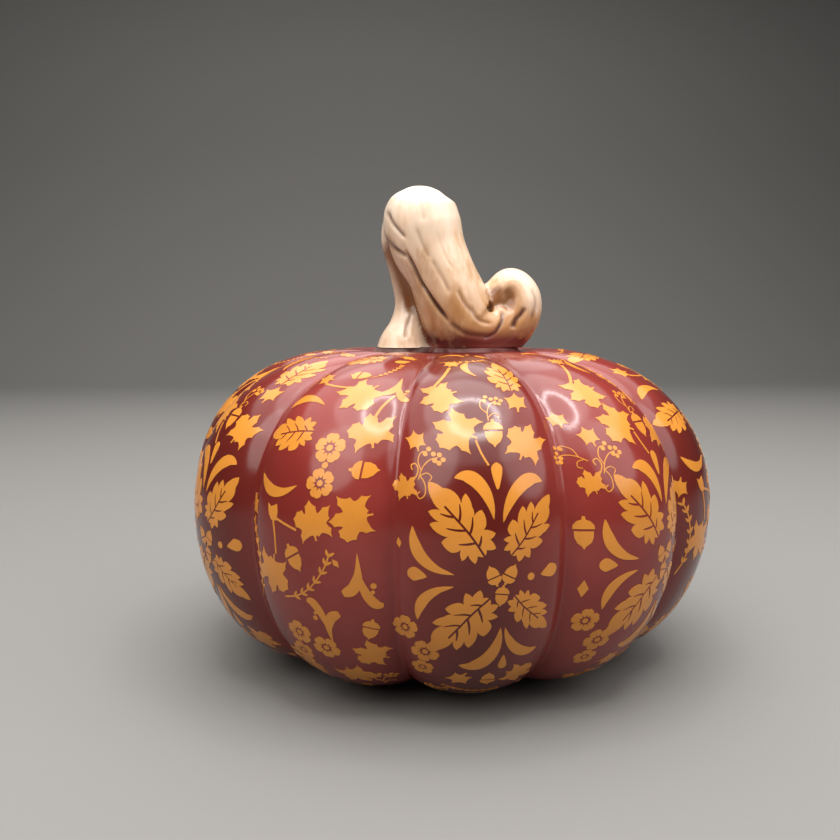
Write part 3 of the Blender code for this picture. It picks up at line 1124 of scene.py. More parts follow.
BOUQUET = [
    spot("flower", 6, 32.5, 0, 1.08), spot("flower", 5.5, 20.5, 20), spot("dot", 6, 26.5, 0, 0.9),
    spot("acorn", 19, 25.5, 90, 0.95), span("oak_leaf", (-2, 38), (-24.5, 35)),
    span("crescent", (-20, 47), (-2.5, 49), -1),
    spot("maple_leaf", 8.5, 55, 145, 1.15), spot("maple_leaf", 18, 39, 20, 1.08), spot("twig", 10.5, 71, 30, 0.6),
    spot("fleur", 18.5, 60, 10, 0.75), span("stalk", (19.5, 56), (17, 43)), span("oak_leaf", (4, 82), (-15, 79)),
    spot("acorn", 3, 66, 90, 0.8), span("stalk", (-9, 60), (3, 58)), spot("ivy_leaf", -10, 63, 80, 0.9),
    span("crescent", (-22, 21), (-3, 19)), spot("maple_leaf", 4.5, 7.5, 15), spot("maple_leaf", 18, 10, 100, 1.08),
    spot("blossom_branch", -13, 9, 0, 1.05), spot("maple_leaf", -13.5, -11.5, 165, 1.15),
    spot("acorn", -3, -4.5, 30, 0.95),
    span("twig", (-8.5, -19.5), (10.5, -2)), spot("fleur", 19.5, -11), spot("diamond", 12.5, -5, 40, 0.8),
    spot("fleur", 7, -27, 180, 0.9), spot("acorn", 21, -29, -20, 0.85), spot("maple_leaf", 19, -41, 60, 0.9),
    spot("flower", -6, -33.5), spot("flower", 3.5, -38.5, 30), spot("flower", -8, -43, 10, 0.9),
    span("twig", (-25, -24), (-26, 4)), spot("ivy_leaf", -26, 10, 160, 0.9),
    span("oak_leaf", (-14, -44), (-5, -62)),
    spot("maple_leaf", 9, -54, 200, 0.95), spot("berry_sprig", 17, -58, 10, 0.8), spot("ivy_leaf", -20, -54, 60),
    spot("maple_leaf", -2, -74, 10, 0.9), spot("curl", 8, -70), spot("flower", -11, -80, 0, 0.8),
    spot("bud", 11, -82, 180, 0.8),
    span("twig", (-8, 91), (5, 93)), spot("ivy_leaf", 9, 89, -60, 0.7), spot("drop", 10.5, 82, 60, 0.8),
]
EXTRAS = [
    spot("acorn", -30.5, 4, 0, 1.05), spot("diamond", -29.5, -15.5, 0, 1.5), spot("ivy_leaf", -28.5, 43.5, 0, 0.8),
    spot("berry_sprig", -31, 30, 40, 0.8, -1),
]
# Each panel: the rib it is on, its design, and how far the sheet slipped across and up.
PANELS = [
    (0, MEDALLION, 0, 0), (1, MEDALLION + EXTRAS, 5, 0), (2, BOUQUET, -1, 2), (3, MEDALLION, 2, -1),
    (4, BOUQUET, 0, -2), (5, MEDALLION, -1, 1), (6, BOUQUET, 1, 0), (7, MEDALLION, 3, -2),
    (8, BOUQUET, -2, 1), (9, MEDALLION, 1, 0), (10, BOUQUET, 0, 0),
]
print(len(MEDALLION), "motifs in the medallion,", len(BOUQUET), "in the bouquet")

# %% [markdown]
# ## Fired gold ink
#
# The ink is not metal but an ochre-gold enamel: even in tone, slightly thinner in places where the
# screen left less of it, and under the same gloss as the glaze, so highlights run across both.

# %% Ink
INK = (0.600, 0.230, 0.032)
INK_THIN = (0.500, 0.180, 0.026)


def gold_ink():
    material, board, shader = new_board("gold_print_fine")
    place = object_place(board)
    screen = noise(board, place, 420.0, 2.0, 0.6)
    patch = noise(board, place, 45.0, 2.0, 0.5)
    thinness = patch.between(0.4, 0.7) * 0.5 + screen.between(0.5, 0.8) * 0.25
    board.plug(shader.inputs["Base Color"], mixed(board, thinness.clamped(), INK, INK_THIN))
    board.plug(shader.inputs["Roughness"], 0.16 + screen * 0.08)
    ripple = noise(board, place, 190.0, 2.0, 0.5) + screen * 0.2
    board.plug(shader.inputs["Normal"], bumped(board, ripple, 0.10, 0.0004))
    shader.inputs["Specular IOR Level"].default_value = GLASSY_SPECULAR
    return material


ink = gold_ink()
print("ink nodes:", len(ink.node_tree.nodes))

# %% [markdown]
# ## Fitting the sheets to the ribs
#
# A soaked transfer bends into every groove without stretching much. The tree does the same: it
# lays the flat motifs out on the panel, reads each point's distance along the outline from its
# height and its turn from its distance across, and asks the body's rule where that point is. The
# slab's own thickness is then added along the normal of the finished skin.


# %% Print tree
def print_tree(material):
    sizes = dict(RULE_SIZES)
    sizes.update({
        "Outline": cast_outline, "Glazed skin": glazed_body, "Motifs": ink_library, "Ink material": material,
        "Panel angle": 0.0, "Waist length": WAIST_LENGTH,
    })
    board, size = geometry_tree("print panel", sizes)
    outline = board.node("GeometryNodeObjectInfo", {}, {"Object": size["Outline"]}, "Geometry")
    skin = board.node("GeometryNodeObjectInfo", {}, {"Object": size["Glazed skin"]}, "Geometry")
    motifs = board.node("GeometryNodeCollectionInfo", {}, {"Collection": size["Motifs"], "Separate Children": True,
                                                           "Reset Children": True})
    turn = board.node("GeometryNodeInputNamedAttribute", {"data_type": "FLOAT"}, {"Name": "turn"})
    scale = board.node("GeometryNodeInputNamedAttribute", {"data_type": "FLOAT"}, {"Name": "size"})
    number = board.node("GeometryNodeInputNamedAttribute", {"data_type": "INT"}, {"Name": "motif"})
    sheet = board.node("GeometryNodeInstanceOnPoints", {}, {
        "Points": size["Geometry"], "Instance": motifs, "Pick Instance": True, "Instance Index": number,
        "Rotation": board.node("ShaderNodeCombineXYZ", {}, {"Z": turn}),
        "Scale": board.node("ShaderNodeCombineXYZ", {}, {"X": scale, "Y": scale, "Z": 1.0}),
    })
    flat = board.node("GeometryNodeRealizeInstances", {}, {"Geometry": sheet})
    split = board.raw("ShaderNodeSeparateXYZ", {}, {"Vector": board.node("GeometryNodeInputPosition")})
    across, up, thick = (Wire(board, split.outputs[axis]) for axis in "XYZ")
    length = size["Waist length"] - up
    radius, _ = sampled(board, outline, length)
    angle = size["Panel angle"] + across / radius
    place, _ = ribbed_point(board, size, outline, angle, length)
    outward = board.raw("GeometryNodeSampleNearestSurface", {"data_type": "FLOAT_VECTOR"}, {"Mesh": skin})
    board.plug(outward.inputs["Value"], board.node("GeometryNodeInputNormal"))
    board.plug(outward.inputs["Sample Position"], place)
    step = board.node("ShaderNodeVectorMath", {"operation": "SCALE"},
                      {0: Wire(board, outward.outputs[0]), "Scale": thick})
    bent = board.node("ShaderNodeVectorMath", {"operation": "ADD"}, {0: place, 1: step})
    laid = board.node("GeometryNodeSetPosition", {}, {"Geometry": flat, "Position": bent})
    whole = board.node("GeometryNodeRealizeInstances", {}, {"Geometry": laid})
    coated = board.node("GeometryNodeSetMaterial", {}, {"Geometry": whole, "Material": size["Ink material"]})
    board.raw("NodeGroupOutput", {}, {"Geometry": coated})
    return board, sizes


print_board, print_sizes = print_tree(ink)
print("print tree:", len(print_board.tree.nodes), "nodes,", len(print_sizes), "named inputs")

# %% [markdown]
# ## Laying the sheets
#
# Each sheet is a handful of loose points, one for each motif, that carry its turn, its size and its
# number in the library. The tree is grown once on each of them, at its own rib. The edges of the
# ink stay sharp, because a printed film has no rounded edge, while its face is shaded smooth.

# %% Print
INK_EDGE = math.radians(50)


def panel_points(name, layout, slip_across, slip_up):
    """A mesh of one loose point for each motif of a layout."""
    mesh = bpy.data.meshes.new(name)
    mesh.from_pydata([((x + slip_across) * MM, (y + slip_up) * MM, 0) for _, x, y, _, _ in layout], [], [])
    for title, kind, column in (("turn", "FLOAT", 3), ("size", "FLOAT", 4)):
        mesh.attributes.new(title, kind, "POINT").data.foreach_set("value", [row[column] for row in layout])
    numbers = [MOTIF_NUMBER[row[0]] for row in layout]
    mesh.attributes.new("motif", "INT", "POINT").data.foreach_set("value", numbers)
    return piece_from(name, mesh)


def make_print():
    total = 0
    for rib, layout, slip_across, slip_up in PANELS:
        host = panel_points("print_host", layout, slip_across, slip_up)
        mesh = grown(host, print_board, {**print_sizes, "Panel angle": rib * LOBE_TURN})
        bpy.data.objects.remove(host)
        for attribute in [a.name for a in mesh.attributes if a.name in ("turn", "size", "motif")]:
            mesh.attributes.remove(mesh.attributes[attribute])
        mesh.shade_smooth()
        mesh.set_sharp_from_angle(angle=INK_EDGE)
        panel = piece_from(f"print_panel_{rib + 1:02d}", mesh)
        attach(panel, "root")
        total += len(mesh.polygons)
    return total


print("print:", make_print(), "faces on", len(PANELS), "panels")

# %% [markdown]
# ## The hooked stem
#
# The stem was modelled by hand, cast solid and dipped in cream glaze: a thick trunk that leans,
# runs down to the right and hooks up into a knob, and a thin leg behind it that flares on the
# seat. Two routes with a radius at each station describe it. Later the same routes also say where
# on the stem any point of its skin is, which lets the furrows follow it, as the modeller's tool did.

# %% Stem routes
# Each station: sideways, depth, height over the stem's foot, radius.
TRUNK = (
    (-0.0110, 0.000, 0.0660, 0.0036), (-0.0111, 0.000, 0.0640, 0.0084), (-0.0113, 0.000, 0.0591, 0.0145),
    (-0.0108, 0.000, 0.0508, 0.0165), (-0.0082, -0.001, 0.0412, 0.0159), (-0.0034, -0.003, 0.0312, 0.0143),
    (0.0010, -0.003, 0.0204, 0.0151), (0.0068, -0.002, 0.0090, 0.0157), (0.0168, -0.002, 0.0059, 0.0134),
    (0.0276, -0.001, 0.0116, 0.0109), (0.0299, -0.001, 0.0198, 0.0099), (0.0265, -0.001, 0.0248, 0.0086),
    (0.0218, -0.001, 0.0219, 0.0076), (0.0174, -0.001, 0.0180, 0.0072),
)
LEG = (
    (-0.0151, 0.002, 0.0538, 0.0115), (-0.0184, 0.005, 0.0446, 0.0095), (-0.0170, 0.007, 0.0312, 0.0072),
    (-0.0149, 0.007, 0.0188, 0.0070), (-0.0157, 0.006, 0.0095, 0.0084), (-0.0174, 0.005, 0.0013, 0.0115),
    (-0.0176, 0.005, -0.0038, 0.0126),
)
ROUTE_STEPS = 14


def fine_route(stations):
    """The route as a smooth, dense line of (place, radius)."""
    return np.array(smooth_path(stations, ROUTE_STEPS)) + np.array([0, 0, STEM_BOTTOM, 0])


trunk_route = fine_route(TRUNK)
leg_route = fine_route(LEG)
print("route points:", len(trunk_route), "on the trunk,", len(leg_route), "on the leg")

# %% [markdown]
# ## One skin from two tubes
#
# A tube is built along each route, round ends close them, and two flat ovals spread the foot where
# the clay was pressed onto the seat. They cross each other, so a voxel remesh melts them into one
# skin, and a smoothing pass takes the voxels' steps away.

# %% Stem skin
STEM_VOXEL = 0.62 * MM
# Each oval of the foot: sideways, depth, half its width, half its depth.
FOOT_SPREAD = ((-0.0176, 0.005, 0.0121, 0.0121), (0.0107, -0.002, 0.0187, 0.0132))
FOOT_SPREAD_HEIGHT = 6.0 * MM


def tube(shape, route, sides=28):
    """Adds a closed tube along a route."""
    rings = []
    for index, (x, y, z, radius) in enumerate(route):
        before, after = route[max(index - 1, 0)][:3], route[min(index + 1, len(route) - 1)][:3]
        heading = Vector(after) - Vector(before)
        heading.normalize()
        side = heading.cross(Vector((0, 1, 0))).normalized()
        other = side.cross(heading)
        ring = []
        for i in range(sides):
            turn = math.tau * i / sides
            reach = float(radius) * (math.cos(turn) * side + math.sin(turn) * other)
            ring.append(shape.verts.new(Vector((x, y, z)) + reach))
        rings.append(ring)
    for one, two in zip(rings, rings[1:]):
        for i in range(sides):
            shape.faces.new((one[i], one[(i + 1) % sides], two[(i + 1) % sides], two[i]))
    shape.faces.new(rings[0][::-1])
    shape.faces.new(rings[-1])


def stem_mass():
    """Both tubes and round ends, melted into one skin."""
    shape = bmesh.new()
    tube(shape, trunk_route)
    tube(shape, leg_route)
    for x, y, z, radius in (trunk_route[-1], leg_route[0]):
        place = Matrix.Translation((x, y, z))
        bmesh.ops.create_uvsphere(shape, u_segments=24, v_segments=16, radius=radius, matrix=place)
    for x, y, wide, deep in FOOT_SPREAD:
        place = Matrix.Translation((x, y, STEM_BOTTOM)) @ Matrix.Diagonal((wide, deep, FOOT_SPREAD_HEIGHT, 1))
        bmesh.ops.create_uvsphere(shape, u_segments=28, v_segments=16, radius=1.0, matrix=place)
    bmesh.ops.recalc_face_normals(shape, faces=shape.faces)
    mesh = bpy.data.meshes.new("stem_mass")
    shape.to_mesh(mesh)
    shape.free()
    host = piece_from("stem_mass", mesh)
    melt = host.modifiers.new("melt", "REMESH")
    melt.mode = "VOXEL"
    melt.voxel_size = STEM_VOXEL
    soften = host.modifiers.new("soften", "SMOOTH")
    soften.factor = 0.5
    soften.iterations = 14
    graph = bpy.context.evaluated_depsgraph_get()
    melted = bpy.data.meshes.new_from_object(host.evaluated_get(graph))
    bpy.data.objects.remove(host)
    return melted


stem_mesh = stem_mass()
print("stem skin:", len(stem_mesh.vertices), "points")

# %% [markdown]
# ## The furrows, drawn as strokes
#
# Real pumpkin stems are ridged lengthwise, and the model copies that: broad flutes all along, a few
# deep strokes that start and stop, dents inside the hook, and a pinhole where the glaze crawled.
# Every stroke is a short list of places, drawn on the flat as the stem is seen from the front, and
# pressed into its front or its back.

# %% Furrows
# Each stroke: width, depth (both millimetres) and its places (sideways, height over the foot).
FRONT_STROKES = (
    (0.75, 1.35, ((-19.5, 40.5), (-18.0, 37.5), (-15.5, 32.5), (-13.0, 27.0), (-9.5, 21.5), (-6.0, 16.5),
                  (-1.0, 10.0))),
    (1.1, 0.5, ((-2.0, 11.0), (5.5, 6.0), (12.0, 5.0), (16.0, 5.5))),
    (0.8, 0.8, ((-26.5, 56.0), (-24.0, 50.5), (-21.0, 46.5), (-18.5, 43.5))),
    (0.9, 0.9, ((-28.0, 46.5), (-24.0, 41.0), (-20.0, 38.0), (-17.5, 36.0))),
    (1.4, 0.3, ((-15.0, 62.0), (-12.5, 57.0), (-11.5, 50.0))),
    (0.9, 0.40, ((-8.5, 36.0), (-4.5, 28.5), (-0.5, 21.5))),
    (0.8, 0.30, ((-14.5, 48.0), (-12.0, 41.0), (-9.0, 35.5))),
    (0.9, 0.22, ((-6.5, 47.0), (-3.5, 38.0), (0.5, 31.0))),
    (0.9, 0.40, ((1.5, 24.5), (5.5, 17.5), (10.5, 13.0))),
    (0.9, 0.75, ((21.5, 16.5), (20.7, 11.0), (17.5, 6.0), (12.0, 3.8))),
    (1.3, 0.8, ((31.0, 17.0), (29.5, 14.5), (27.0, 11.5), (25.5, 7.5))),
    (2.6, 0.45, ((15.0, 24.5), (18.5, 22.5), (22.0, 23.5))),
    (2.4, 0.45, ((22.0, 24.5), (24.5, 20.5), (22.0, 16.0))),
    (0.9, 0.4, ((7.0, 17.5), (11.0, 11.5), (17.0, 10.0))),
    (1.1, 0.35, ((33.5, 25.0), (36.0, 19.0), (34.0, 11.0))),
)
BACK_STROKES = (
    (1.2, 1.2, ((-14.0, 57.0), (-12.0, 48.0), (-9.0, 36.0), (-4.0, 24.0), (2.0, 14.0), (8.0, 8.0))),
    (1.0, 0.8, ((-4.5, 57.0), (-3.0, 48.0), (1.0, 36.0), (6.0, 25.0), (12.0, 14.0))),
    (1.0, 0.6, ((-19.0, 50.0), (-16.0, 38.0), (-12.0, 28.0), (-8.0, 18.0), (-5.0, 9.0))),
    (1.1, 0.8, ((30.0, 24.0), (32.5, 16.0), (28.0, 9.0), (20.0, 6.0))),
    (0.9, 0.7, ((24.0, 20.0), (24.5, 13.0), (18.0, 8.5), (12.0, 9.0))),
)
LEG_STROKES = (
    (2.6, 1.5, ((-27.0, 44.5), (-24.5, 39.0), (-21.5, 34.0), (-19.5, 28.0), (-17.5, 23.0), (-15.7, 17.5),
                (-15.0, 12.0))),
    (0.9, 0.6, ((-15.0, 18.5), (-15.7, 13.5), (-17.5, 8.5), (-18.5, 3.0))),
)
# Where the brown wash lay thickest, as strokes too, and where painted shade is added to it: the wedge
# beside the leg, whose side in shadow is painted dark, and the hook, whose hollow is painted as shaded.
WEDGE_STAIN_AND_SHADE = ((4.0, 1.0, LEG_STROKES[0][2]),)
HOOK_STAIN_AND_SHADE = (
    (3.2, 1.0, ((16.5, 24.0), (19.5, 20.5), (17.0, 16.5))),
    (2.6, 0.8, ((22.5, 24.5), (24.5, 20.0), (21.0, 16.0))),
)
# The pinhole: sideways, height over the foot, radius, depth, all in millimetres.
PINHOLE = (16.4, 16.4, 1.35, 2.4)
print("strokes:", len(FRONT_STROKES), "in front,", len(BACK_STROKES), "behind,", len(LEG_STROKES), "on the leg")

# %% [markdown]
# ## Measuring a point of the stem
#
# Each point of the skin asks two things: how far it is from the nearest stroke, and where it lies
# along and round the trunk. Inside the bend the nearest station jumps from one side to the other,
# which would leave a ledge, so what is worked out from it is averaged with its neighbours.


# %% Measuring tools
def stroke_depth(points, strokes):
    """How deep each flat point lies in the strokes, 0 to 1, and how far it sinks, in metres."""
    share = np.zeros(len(points))
    sunk = np.zeros(len(points))
    for width, depth, places in strokes:
        path = np.array(smooth_path(list(places), 6))
        gap = np.full(len(points), 1e9)
        along = np.zeros(len(points))
        lengths = np.concatenate([[0], np.cumsum(np.linalg.norm(np.diff(path, axis=0), axis=1))])
        for index in range(len(path) - 1):
            start, run = path[index], path[index + 1] - path[index]
            t = np.clip(((points - start) @ run) / max(1e-9, run @ run), 0, 1)
            distance = np.linalg.norm(points - start - t[:, None] * run, axis=1)
            nearer = distance < gap
            gap = np.where(nearer, distance, gap)
            along = np.where(nearer, (lengths[index] + t * np.linalg.norm(run)) / lengths[-1], along)
        fade = np.clip(np.sin(np.pi * np.clip(along, 0.02, 0.98)) * 2.2, 0, 1)
        press = np.exp(-(gap / width) ** 2) * fade
        sunk = np.maximum(sunk, press * depth * MM)
        share = np.maximum(share, press * min(1.0, depth))
    return share, sunk


def nearest_station(route, places):
    """The number of the route's point that is nearest to each place."""
    tree = KDTree(len(route))
    for index, row in enumerate(route):
        tree.insert(row[:3], index)
    tree.balance()
    return np.array([tree.find(place)[1] for place in places])


def evened(mesh, values, times):
    """The values averaged with their neighbours' a number of times, so that they change gently."""
    ends = np.empty(len(mesh.edges) * 2, dtype=np.int64)
    mesh.edges.foreach_get("vertices", ends)
    one, two = ends.reshape(-1, 2).T
    count = np.bincount(ends, minlength=len(values)) + 1.0
    for _ in range(times):
        from_two = np.bincount(one, values[two], len(values))
        from_one = np.bincount(two, values[one], len(values))
        values = (values + from_two + from_one) / count
    return values


def vertex_vectors(mesh, name):
    """A vector of each vertex, its "co" or its "normal", as rows."""
    flat = np.empty(len(mesh.vertices) * 3)
    mesh.vertices.foreach_get(name, flat)
    return flat.reshape(-1, 3)


def gap_to(route, stations, places):
    """How far each place lies outside the tube round a route, in metres."""
    return np.linalg.norm(places - route[stations, :3], axis=1) - route[stations, 3]


def turn_round_trunk(places, on_trunk):
    """The angle of each place round the trunk, 0 on the side that faces the front."""
    heading = np.gradient(trunk_route[:, :3], axis=0)
    heading /= np.linalg.norm(heading, axis=1)[:, None]
    side = np.cross(heading, np.array([0.0, 1.0, 0.0]))
    side /= np.linalg.norm(side, axis=1)[:, None]
    out = places - trunk_route[on_trunk, :3]
    return np.arctan2((out * side[on_trunk]).sum(1), -out[:, 1])


trial_share, trial_sunk = stroke_depth(np.array([[5.0, 0.0]]), [(1.0, 1.0, ((0, 0), (10, 0)))])
print(f"on a stroke 1 mm deep, a place sinks {trial_sunk[0] / MM:.2f} mm and its share is {trial_share[0]:.2f}")

# %% [markdown]
# ## Carving
#
# The flutes are waves round the trunk, at three sizes, that drift as they climb, so no ridge runs
# straight. Strokes sink only the side they were drawn on. The valley where the leg meets the trunk
# sinks too. Each point then remembers how hollow it is and how much wash it holds, because the brown
# wash was wiped off the ridges and stayed in the hollows. Painted shade is stored with them: the
# valley by the leg, the wedge beside it, the hook's hollow and the pinhole are painted darker there.

# %% Carve
FLUTES, BROAD_FLUTES, FINE_FLUTES = 7, 4, 23
FLUTE_DEPTH, BROAD_DEPTH, FINE_DEPTH = 0.24, 0.42, 0.05
LEG_FLUTE_SHARE = 0.35
EVENING_TIMES = 30
JOIN_WIDTH = 1.0 * MM
JOIN_REACH = 3 * MM
JOIN_DEPTH = 0.5 * MM
JOIN_TOP = 50 * MM
JOIN_FADE = 8 * MM
FOOT_FADE = 1.5 * MM


def flute_waves(turn, share):
    """Middle, broad and fine ridges round the trunk, each 0 to 1, that wander as they climb."""
    drift = 0.9 * np.sin(5.0 * share) + 0.35 * np.sin(13.0 * share + 1.0)
    flutes = 0.5 + 0.5 * np.cos(FLUTES * turn + 4 * drift)
    broad = 0.5 + 0.5 * np.cos(BROAD_FLUTES * turn - 3 * drift + 1.0)
    fine = 0.5 + 0.5 * np.cos(FINE_FLUTES * turn + 9 * drift + 2.0 * np.sin(31 * share))
    return flutes, broad, fine


def carve(mesh):
    """Sinks the skin and stores what the glaze needs: hollow, along, leg, and the wash with its painted shade."""
    places, normals = vertex_vectors(mesh, "co"), vertex_vectors(mesh, "normal")
    lifted = places[:, 2] - STEM_BOTTOM
    on_trunk, on_leg = nearest_station(trunk_route, places), nearest_station(leg_route, places)
    trunk_gap, leg_gap = gap_to(trunk_route, on_trunk, places), gap_to(leg_route, on_leg, places)
    is_leg = leg_gap < trunk_gap
    share = on_trunk / (len(trunk_route) - 1)

    # Flutes, faded out at both ends of the trunk and weaker on the leg.
    flutes, broad, fine = flute_waves(turn_round_trunk(places, on_trunk), share)
    ends = np.clip((share - 0.04) / 0.14, 0, 1) * np.clip((1 - share) / 0.12, 0.2, 1)
    body = np.where(is_leg, LEG_FLUTE_SHARE, 1.0) * ends
    sink = evened(mesh, (FLUTE_DEPTH * flutes ** 2 + BROAD_DEPTH * broad) * MM * body, EVENING_TIMES)
    sink = sink + FINE_DEPTH * fine * MM * body

    # Strokes and the pinhole, each on the side it was drawn on.
    flat = np.stack([places[:, 0], lifted], 1) / MM
    front_share, front_sunk = stroke_depth(flat, FRONT_STROKES)
    leg_share, leg_sunk = stroke_depth(flat, LEG_STROKES)
    back_share, back_sunk = stroke_depth(flat, BACK_STROKES)
    facing = np.clip(-normals[:, 1] * 1.6 + 0.25, 0, 1)
    behind = np.clip(normals[:, 1] * 1.6 - 0.1, 0, 1) * ~is_leg
    x, z, radius, depth = PINHOLE
    # The pinhole is also painted dark below, as shade inside the hole.
    hole = np.exp(-((np.hypot(flat[:, 0] - x, flat[:, 1] - z)) / radius) ** 4) * facing
    sink += np.where(is_leg, leg_sunk, front_sunk) * facing + back_sunk * behind + depth * MM * hole

    # The valley between leg and trunk. Below, it is also darkened in colour as painted shade in the crease.
    join = np.exp(-((trunk_gap - leg_gap) / JOIN_WIDTH) ** 2) * (np.minimum(trunk_gap, leg_gap) < JOIN_REACH)
    join *= np.clip((JOIN_TOP - lifted) / JOIN_FADE, 0, 1)
    sink += JOIN_DEPTH * join

    places = places - normals * (sink * np.clip(lifted / FOOT_FADE, 0, 1))[:, None]
    places[:, 2] = np.maximum(places[:, 2], STEM_BOTTOM)
    mesh.vertices.foreach_set("co", places.ravel())

    # The wash is brown stain with painted shade in it: the wedge beside the leg and the valley between leg and
    # trunk are painted dark where shade falls, the hook's hollow is painted darker as shade, and the pinhole is
    # painted dark as a shaded hole.
    wedge_stain_and_shade, _ = stroke_depth(flat, WEDGE_STAIN_AND_SHADE)
    hook_stain_and_shade, _ = stroke_depth(flat, HOOK_STAIN_AND_SHADE)
    front_half = np.clip(0.5 - places[:, 1] / (2 * MM), 0, 1)
    wash = np.where(is_leg, wedge_stain_and_shade * 1.15, 0.8 * join) + hook_stain_and_shade * 1.15 * front_half + hole
    # The hollow value colours the furrows with the wiped-back wash; its pinhole and valley terms are painted shade.
    hollow = 0.13 * flutes ** 2 * body + 0.07 * fine * body
    hollow = hollow + np.where(is_leg, leg_share, front_share) * facing + back_share * behind + hole + 0.85 * join
    hollow, wash = np.clip(hollow, 0, 1), np.clip(wash, 0, 1)
    notes = {"hollow": hollow, "along": share, "leg": is_leg.astype(float), "wash": wash}
    for name, values in notes.items():
        mesh.attributes.new(name, "FLOAT", "POINT").data.foreach_set("value", values)
    return hollow


hollow = carve(stem_mesh)
print(f"hollows: mean {hollow.mean():.2f}, deepest {hollow.max():.2f}")

# %% [markdown]
# ## A flat foot
#
# The melted foot reached below the seat, and carving pressed that part flat onto one plane, at the
# height where the solid stem stands. A cut along the plane clears what is left below it, and open
# edges are filled. A few slits, narrower than a tenth of a millimetre, stay in the flat underside,
# where the slip hides them, and the cell prints how many edges are still open.


# %% Flatten the foot
def cut_flat(mesh, height):
    """Cuts the mesh off at a height and closes it there."""
    shape = bmesh.new()
    shape.from_mesh(mesh)
    bmesh.ops.remove_doubles(shape, verts=shape.verts, dist=0.02 * MM)
    everything = shape.verts[:] + shape.edges[:] + shape.faces[:]
    cut = bmesh.ops.bisect_plane(shape, geom=everything, dist=1e-7, plane_co=(0, 0, height),
                                 plane_no=(0, 0, -1), clear_outer=True)
    rim = [edge for edge in cut["geom_cut"] if isinstance(edge, bmesh.types.BMEdge)]
    bmesh.ops.holes_fill(shape, edges=[edge for edge in shape.edges if edge.is_boundary])
    bmesh.ops.recalc_face_normals(shape, faces=shape.faces)
    print("foot rim edges:", len(rim), "open edges left:", sum(edge.is_boundary for edge in shape.edges))
    shape.to_mesh(mesh)
    shape.free()


cut_flat(stem_mesh, STEM_BOTTOM)

# %% [markdown]
# ## Cream glaze with a brown wash
#
# The potter brushed a brown stain over the cream glaze and wiped it back, so it lies dark in the
# furrows and the hook, tan down the front, and almost clean on the head and the thin leg. Painted
# shade is mixed into the same dark layers: in the valley and the wedge beside the leg, in the hook's
# hollow and in the pinhole. The material mixes those from the stored hollows, from the height over
# the foot and from noise stretched along the trunk, which leaves the streaks that a brush leaves.

# %% Stem glaze
CREAM = (0.780, 0.630, 0.490)
PEACH = (0.640, 0.390, 0.210)
TAN = (0.400, 0.200, 0.080)
UMBER = (0.085, 0.026, 0.014)
BROWN = (0.210, 0.085, 0.030)
ORANGE = (0.420, 0.190, 0.060)
REDDISH = (0.150, 0.030, 0.022)
TRUNK_LEAN = math.radians(24)
STREAK_SCALE = (260.0, 260.0, 70.0)


def stained_cream():
    material, board, shader = new_board("stained_cream_glaze_fine")
    place = object_place(board)
    split = board.raw("ShaderNodeSeparateXYZ", {}, {"Vector": place})
    sideways, height = Wire(board, split.outputs["X"]), Wire(board, split.outputs["Z"])
    lifted = height - STEM_BOTTOM
    hollow_wash_and_shade = named_value(board, "hollow")
    leg = named_value(board, "leg")
    along_trunk = board.node("ShaderNodeMapping", {}, {
        "Vector": place, "Rotation": (0.0, TRUNK_LEAN, 0.0), "Scale": STREAK_SCALE,
    })
    streaks = noise(board, along_trunk, 1.0, 3.0, 0.55)
    patches = noise(board, place, 90.0, 3.0, 0.55)
    low = 1 - lifted.between(0.006, 0.036)
    middle_tan = 1 - lifted.between(0.034, 0.060)
    lines = streaks.between(0.52, 0.68)
    knob = sideways.between(0.026, 0.034) * lifted.between(0.010, 0.018)
    hook = sideways.between(0.010, 0.022) * (1 - lifted.between(0.022, 0.031)) * (1 - knob)
    stain = low * 0.50 + hook * 0.20 + middle_tan * 0.38 + streaks.between(0.38, 0.72) * 0.22
    stain = (stain + patches.between(0.4, 0.75) * 0.20 - leg * 0.62) * (1 - knob * 0.75)
    darker = (stain - 0.44) * 1.1 + hollow_wash_and_shade * 0.25 + lines * middle_tan * 0.16
    rusty = (low - 0.45) * patches.between(0.36, 0.56) * (1 - leg)
    # UMBER in the hollows is the wiped-back wash in the furrows and painted shade in the valley by the leg and in
    # the pinhole; BROWN is the thick wash with painted shade beside the leg and in the hook.
    in_hollows = (hollow_wash_and_shade - 0.18) * 1.3 * (0.8 + low * 0.4 - leg * 0.35)
    thick_wash_and_shade = named_value(board, "wash") * (0.78 + patches * 0.4)
    base = (1 - lifted.between(0.0015, 0.0105)) * (1 - leg) * (0.35 + patches.between(0.30, 0.48) * 0.65)
    colour = mixed(board, stain.clamped(), CREAM, PEACH)
    layers = ((darker, TAN), (rusty, ORANGE), (in_hollows, UMBER), (thick_wash_and_shade, BROWN), (base * 1.15, REDDISH))
    for share, layer in layers:
        colour = mixed(board, share.clamped(), colour, layer)
    board.plug(shader.inputs["Base Color"], colour)
    board.plug(shader.inputs["Roughness"], 0.20 + patches * 0.10)
    grain = streaks * 0.6 + patches * 0.4
    board.plug(shader.inputs["Normal"], bumped(board, grain - hollow_wash_and_shade * 0.3, 0.22, 0.0007))
    shader.inputs["Coat Weight"].default_value = 0.12
    shader.inputs["Coat Roughness"].default_value = 0.08
    return material


def make_stem():
    stem_mesh.shade_smooth()
    stem_mesh.materials.clear()
    stem_mesh.materials.append(stained_cream())
    piece = piece_from("hooked_stem", stem_mesh)
    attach(piece, "root")
    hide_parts("stem")
    return piece


hooked_stem = make_stem()
print("stem:", len(hooked_stem.data.polygons), "faces")

